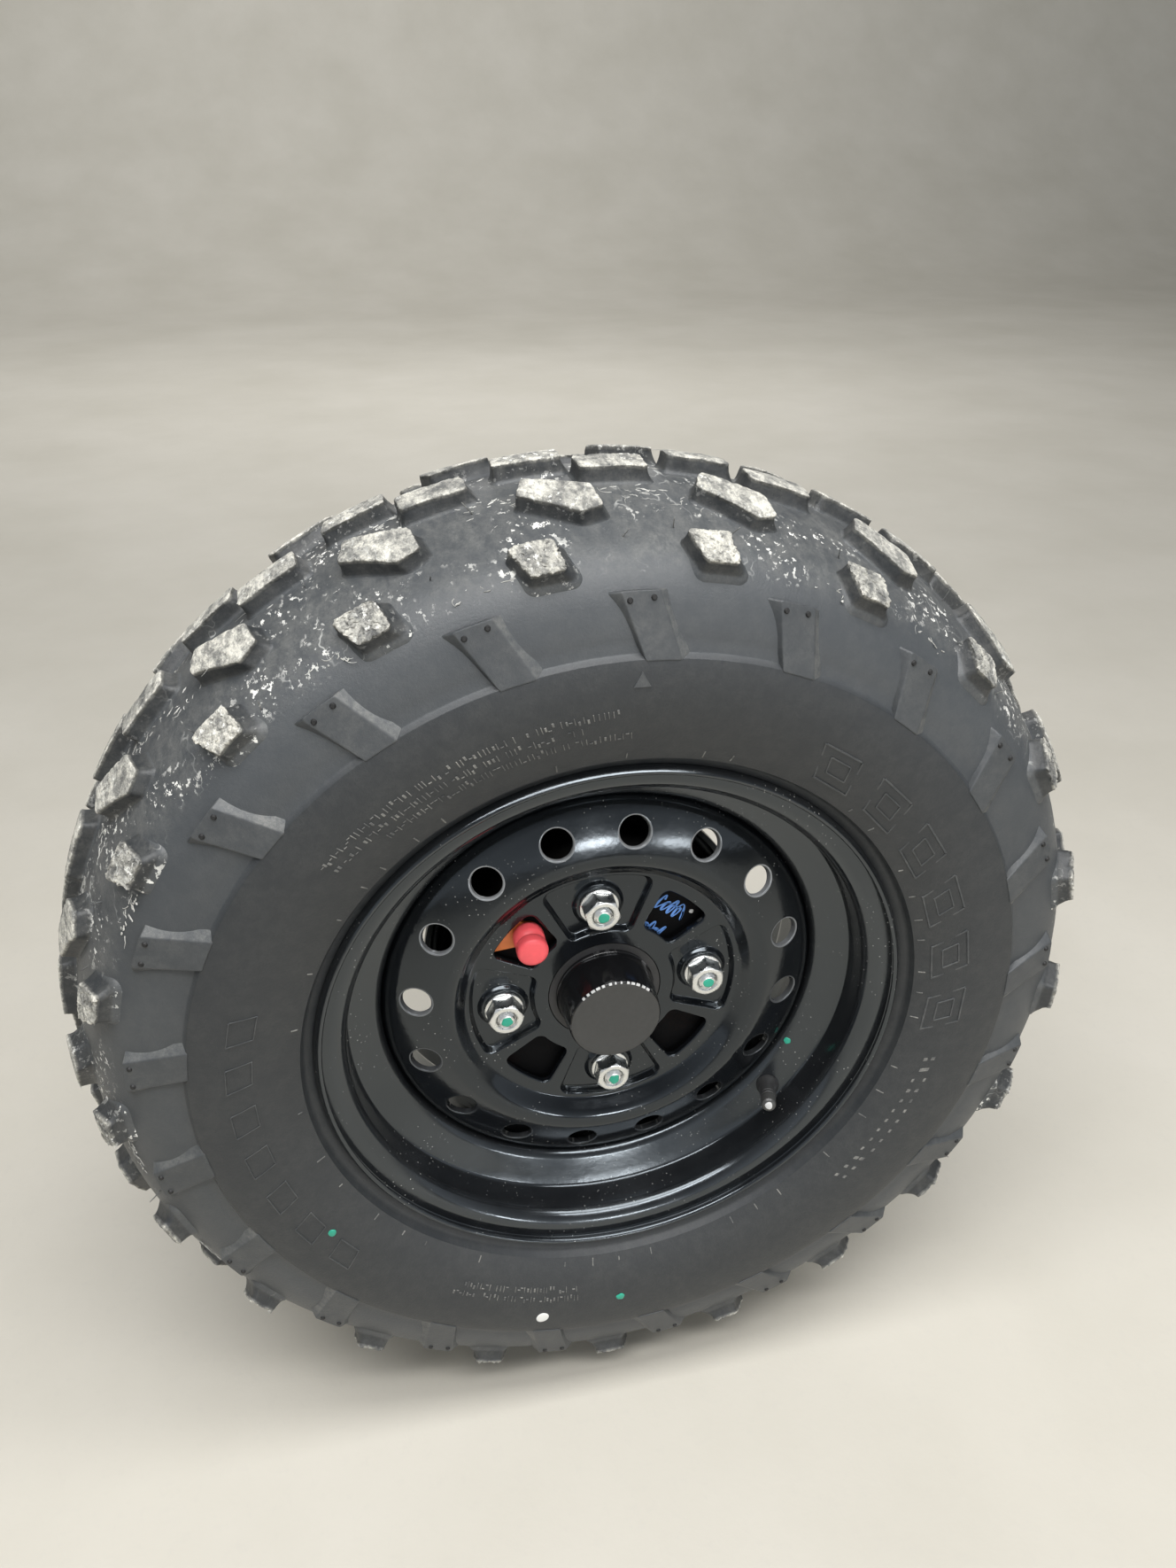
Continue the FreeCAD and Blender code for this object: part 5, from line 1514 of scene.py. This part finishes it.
def floor_finish():
    """Pale screed, slightly mottled."""
    material, surface = plain("pale floor", (0.6, 0.58, 0.54), 0.62)
    cloud = object_noise(material, 3.2, 6.0, 0.6)
    fine = object_noise(material, 160.0, 4.0, 0.6)
    tone = blend(material, levels(material, cloud, 0.3, 0.7), (0.55, 0.52, 0.45), (0.615, 0.583, 0.515))
    tone = blend(material, levels(material, fine, 0.55, 0.75, 0.0, 0.16), tone, (0.5, 0.48, 0.44))
    link(material, tone, surface.inputs["Base Color"])
    bumped(material, surface, fine, 0.0004, 0.35)
    return material


RUBBER = rubber()
# Near-black rubber for the fin pips: painted shade.
PIP_SHADE_RUBBER = moulded("pip painted shade rubber", (0.008, 0.008, 0.008), 0.6)
COAT = black_coat()
WEB_COAT = black_coat("pressed disc coat", 0.12, 0.3, 0.005, 0.7)
ZINC = zinc()
CAP = cap_plastic()
VALVE = moulded("valve rubber", (0.03, 0.03, 0.03), 0.5)
VALVE_END = moulded("valve cap", (0.05, 0.05, 0.048), 0.35)
RED = moulded("red plastic", (0.86, 0.1, 0.115), 0.38)
ORANGE = moulded("orange plastic", (0.7, 0.2, 0.05), 0.45)
IRON = cast_iron("drum iron", (0.004, 0.004, 0.0045), 0.65, 0.05, 0.08)
HUB = cast_iron("hub paint", (0.03, 0.03, 0.031), 0.45)
KNUCKLE = cast_iron("knuckle paint", (0.04, 0.041, 0.043), 0.48, 0.12)
PANEL = black_coat("panel paint", 0.36, 0.7)
CYLINDER = cast_iron("cylinder metal", (0.42, 0.42, 0.41), 0.42)
GREEN = moulded("green paint", (0.02, 0.36, 0.24), 0.3)
WHITE = moulded("white paint", (0.75, 0.75, 0.72), 0.5)
BLUE = moulded("blue chalk", (0.13, 0.3, 0.72), 0.7)
GRIT = moulded("pale grit", (0.42, 0.415, 0.385), 0.9, 900.0, 0.0002, 0.5)
# Pale silver: painted glints on the cap's edge bars; also the drum dot and the valve tip.
SILVER = moulded("silver paint and painted glint", (0.55, 0.55, 0.54), 0.3)


# The wheel

dress(tyre_carcass(), RUBBER, stands_for=["tyre"])
for row in LUG_ROWS:
    dress(tyre_lugs(row), RUBBER)
dress(tyre_fins(), RUBBER)
dress(fin_pips(), PIP_SHADE_RUBBER)
dress(sidewall_marks(), RUBBER)
dress(rubber_hairs(), RUBBER)
dress(tread_debris(), GRIT)
dress(rim_piece(), COAT, stands_for=["rim_barrel"])
dress(disc_piece(), WEB_COAT, stands_for=["wheel_disc"])
dress(nuts_piece(), ZINC, stands_for=[f"wheel_nut_{k + 1}" for k in range(BOLTS)])
dress(cap_piece(), CAP, stands_for=["centre_cap"])
dress(cap_edge_glints(), SILVER)
dress(plug_piece(), RED, stands_for=["drum_plug"])
dress(tab_piece(), ORANGE, stands_for=["plug_tab"])
dress(valve_stem_piece(), VALVE, stands_for=["valve_stem"])
dress(valve_cap_piece(), VALVE_END, stands_for=["valve_cap"])
dress(paint_strokes(), BLUE)
VALVE_FOOT, VALVE_OUT = valve_axis()
dress(dab(VALVE_FOOT + VALVE_OUT * (VALVE_REACH - 0.4), VALVE_OUT, 2.3, 0.7, 12, "valve_tip"),
      SILVER)
OUT = np.array([0.0, -1.0, 0.0])
for k in range(BOLTS):
    dress(stud_piece(k), ZINC, stands_for=[f"stud_{k + 1}"])
    dress(dab(bolt_centre(k, NUT_END - STUD_PROUD), OUT, 2.9, 0.5, 30 + k, f"green_dot_{k + 1}"), GREEN)
for name, spot, normal, size, height, finish, seed in (
        ("rim_green_dot", around(122.6, -27.4, 36.3), around(-0.43, -27.4, -0.9), 2.0, 0.45, GREEN, 3),
        ("drum_silver_dot", np.array([49.0, HUB_FACE, 39.0]), OUT, 1.3, 0.5, SILVER, 4)):
    dress(dab(spot, normal, size, height, seed, name), finish)
for name, angle, radius, size, finish, seed in (
        ("tyre_green_dot_1", -148.6, 182.6, 2.3, GREEN, 6), ("tyre_green_dot_2", -90.2, 187.9, 2.4, GREEN, 7),
        ("tyre_white_dot", -103.7, 197.9, 3.6, WHITE, 8)):
    dress(dab(around(radius, angle, sidewall_y(radius)), OUT, size, 0.45, seed, name), finish)

CAD_FINISHES = {"hub": HUB, "brake_drum": IRON, "knuckle": KNUCKLE, "brake_panel": PANEL,
                "brake_cylinder": CYLINDER, "bleed_screw": ZINC}
for k in range(BOLTS):
    CAD_FINISHES[f"panel_bolt_{k + 1}"] = ZINC
for name, finish in CAD_FINISHES.items():
    frame["nodes"][name].data.materials.clear()
    frame["nodes"][name].data.materials.append(finish)


# Floor, light and camera

def floor_sweep():
    """Floor that curves up into a wall far behind the wheel."""
    bend, near, far, high, half = 2.2, -9.0, 4.5, 6.0, 11.0
    turns = np.radians(np.linspace(6, 90, 15))
    line = [(near, 0.0), (far, 0.0)]
    line += [(far + bend * math.sin(a), bend - bend * math.cos(a)) for a in turns]
    line.append((far + bend, high))
    mesh = bpy.data.meshes.new("floor")
    points = [(x, y, FLOOR + z) for y, z in line for x in (-half, half)]
    faces = [(2 * k, 2 * k + 1, 2 * k + 3, 2 * k + 2) for k in range(len(line) - 1)]
    mesh.from_pydata(points, [], faces)
    mesh.polygons.foreach_set("use_smooth", [True] * len(faces))
    mesh.materials.append(floor_finish())
    put_in("floor", mesh)


def area_light(name, place_m, target, size, power):
    """Rectangular light aimed at a place; size is (across, high) in metres."""
    lamp = bpy.data.lights.new(name, "AREA")
    lamp.shape = "RECTANGLE"
    lamp.size, lamp.size_y = size
    lamp.energy = power
    holder = put_in(name, lamp)
    holder.location = place_m
    holder.rotation_euler = (Vector(target) - Vector(place_m)).to_track_quat("-Z", "Y").to_euler()


# The photograph's camera: focal length and height in its own pixels, place and angles
PHOTO_FOCAL = 1350.0
PHOTO_HEIGHT = 1770.0
SENSOR = 36.0
CAMERA_PLACE = (-121.0, -456.5, 410.1)
CAMERA_YAW = 12.773
CAMERA_PITCH = 29.165


def aimed_camera():
    """Camera at the photograph's place and angle."""
    camera = bpy.data.cameras.new("camera")
    camera.sensor_width = SENSOR
    camera.lens = PHOTO_FOCAL * SENSOR / PHOTO_HEIGHT
    yaw, pitch = math.radians(CAMERA_YAW), math.radians(CAMERA_PITCH)
    ahead = Vector((math.sin(yaw) * math.cos(pitch), math.cos(yaw) * math.cos(pitch), -math.sin(pitch)))
    across = Vector((math.cos(yaw), -math.sin(yaw), 0))
    turned = Matrix((across, across.cross(ahead), -ahead)).transposed().to_4x4()
    holder = put_in("camera", camera)
    holder.matrix_world = Matrix.Translation(place([CAMERA_PLACE])[0]) @ turned
    bpy.context.scene.camera = holder


def soft_world():
    """Sky that is brightest at the horizon in front of the wheel and dim overhead and behind."""
    world = bpy.data.worlds.new("soft daylight")
    world.use_nodes = True
    sky = world.node_tree.nodes["Background"]
    sky.inputs["Color"].default_value = (0.9, 0.95, 1.0, 1)
    where = add(world, "ShaderNodeTexCoord").outputs["Generated"]
    parts = add(world, "ShaderNodeSeparateXYZ", _0=where).outputs
    upward = levels(world, parts["Z"], 0.0, 0.7, 1.0, 0.2)
    behind = levels(world, parts["Y"], -0.8, 0.4, 0.75, 0.4)
    link(world, times(world, upward, behind), sky.inputs["Strength"])
    bpy.context.scene.world = world


floor_sweep()
aimed_camera()
soft_world()
WHEEL = (AXLE.x, LIP, AXLE.z)
# Name, place, aim, size and watts of each light
for light in (("overhead", (0.0, -0.42, 1.95), WHEEL, (2.6, 0.5), 38.0),
              ("left window", (0.38, -2.6, 0.37), WHEEL, (0.42, 0.18), 8.0),
              ("right window", (1.24, -2.4, 0.22), WHEEL, (0.42, 0.15), 4.5),
              ("front tube", (-0.1, -1.1, 1.95), WHEEL, (2.6, 0.34), 37.0),
              ("rear fill", (0.7, 3.0, 1.5), WHEEL, (1.6, 1.0), 12.0),
              ("backdrop wash", (0.0, 2.6, 2.7), (0.0, 5.5, 0.4), (4.0, 0.8), 90.0)):
    area_light(*light)
bpy.context.scene.view_settings.view_transform = "Standard"
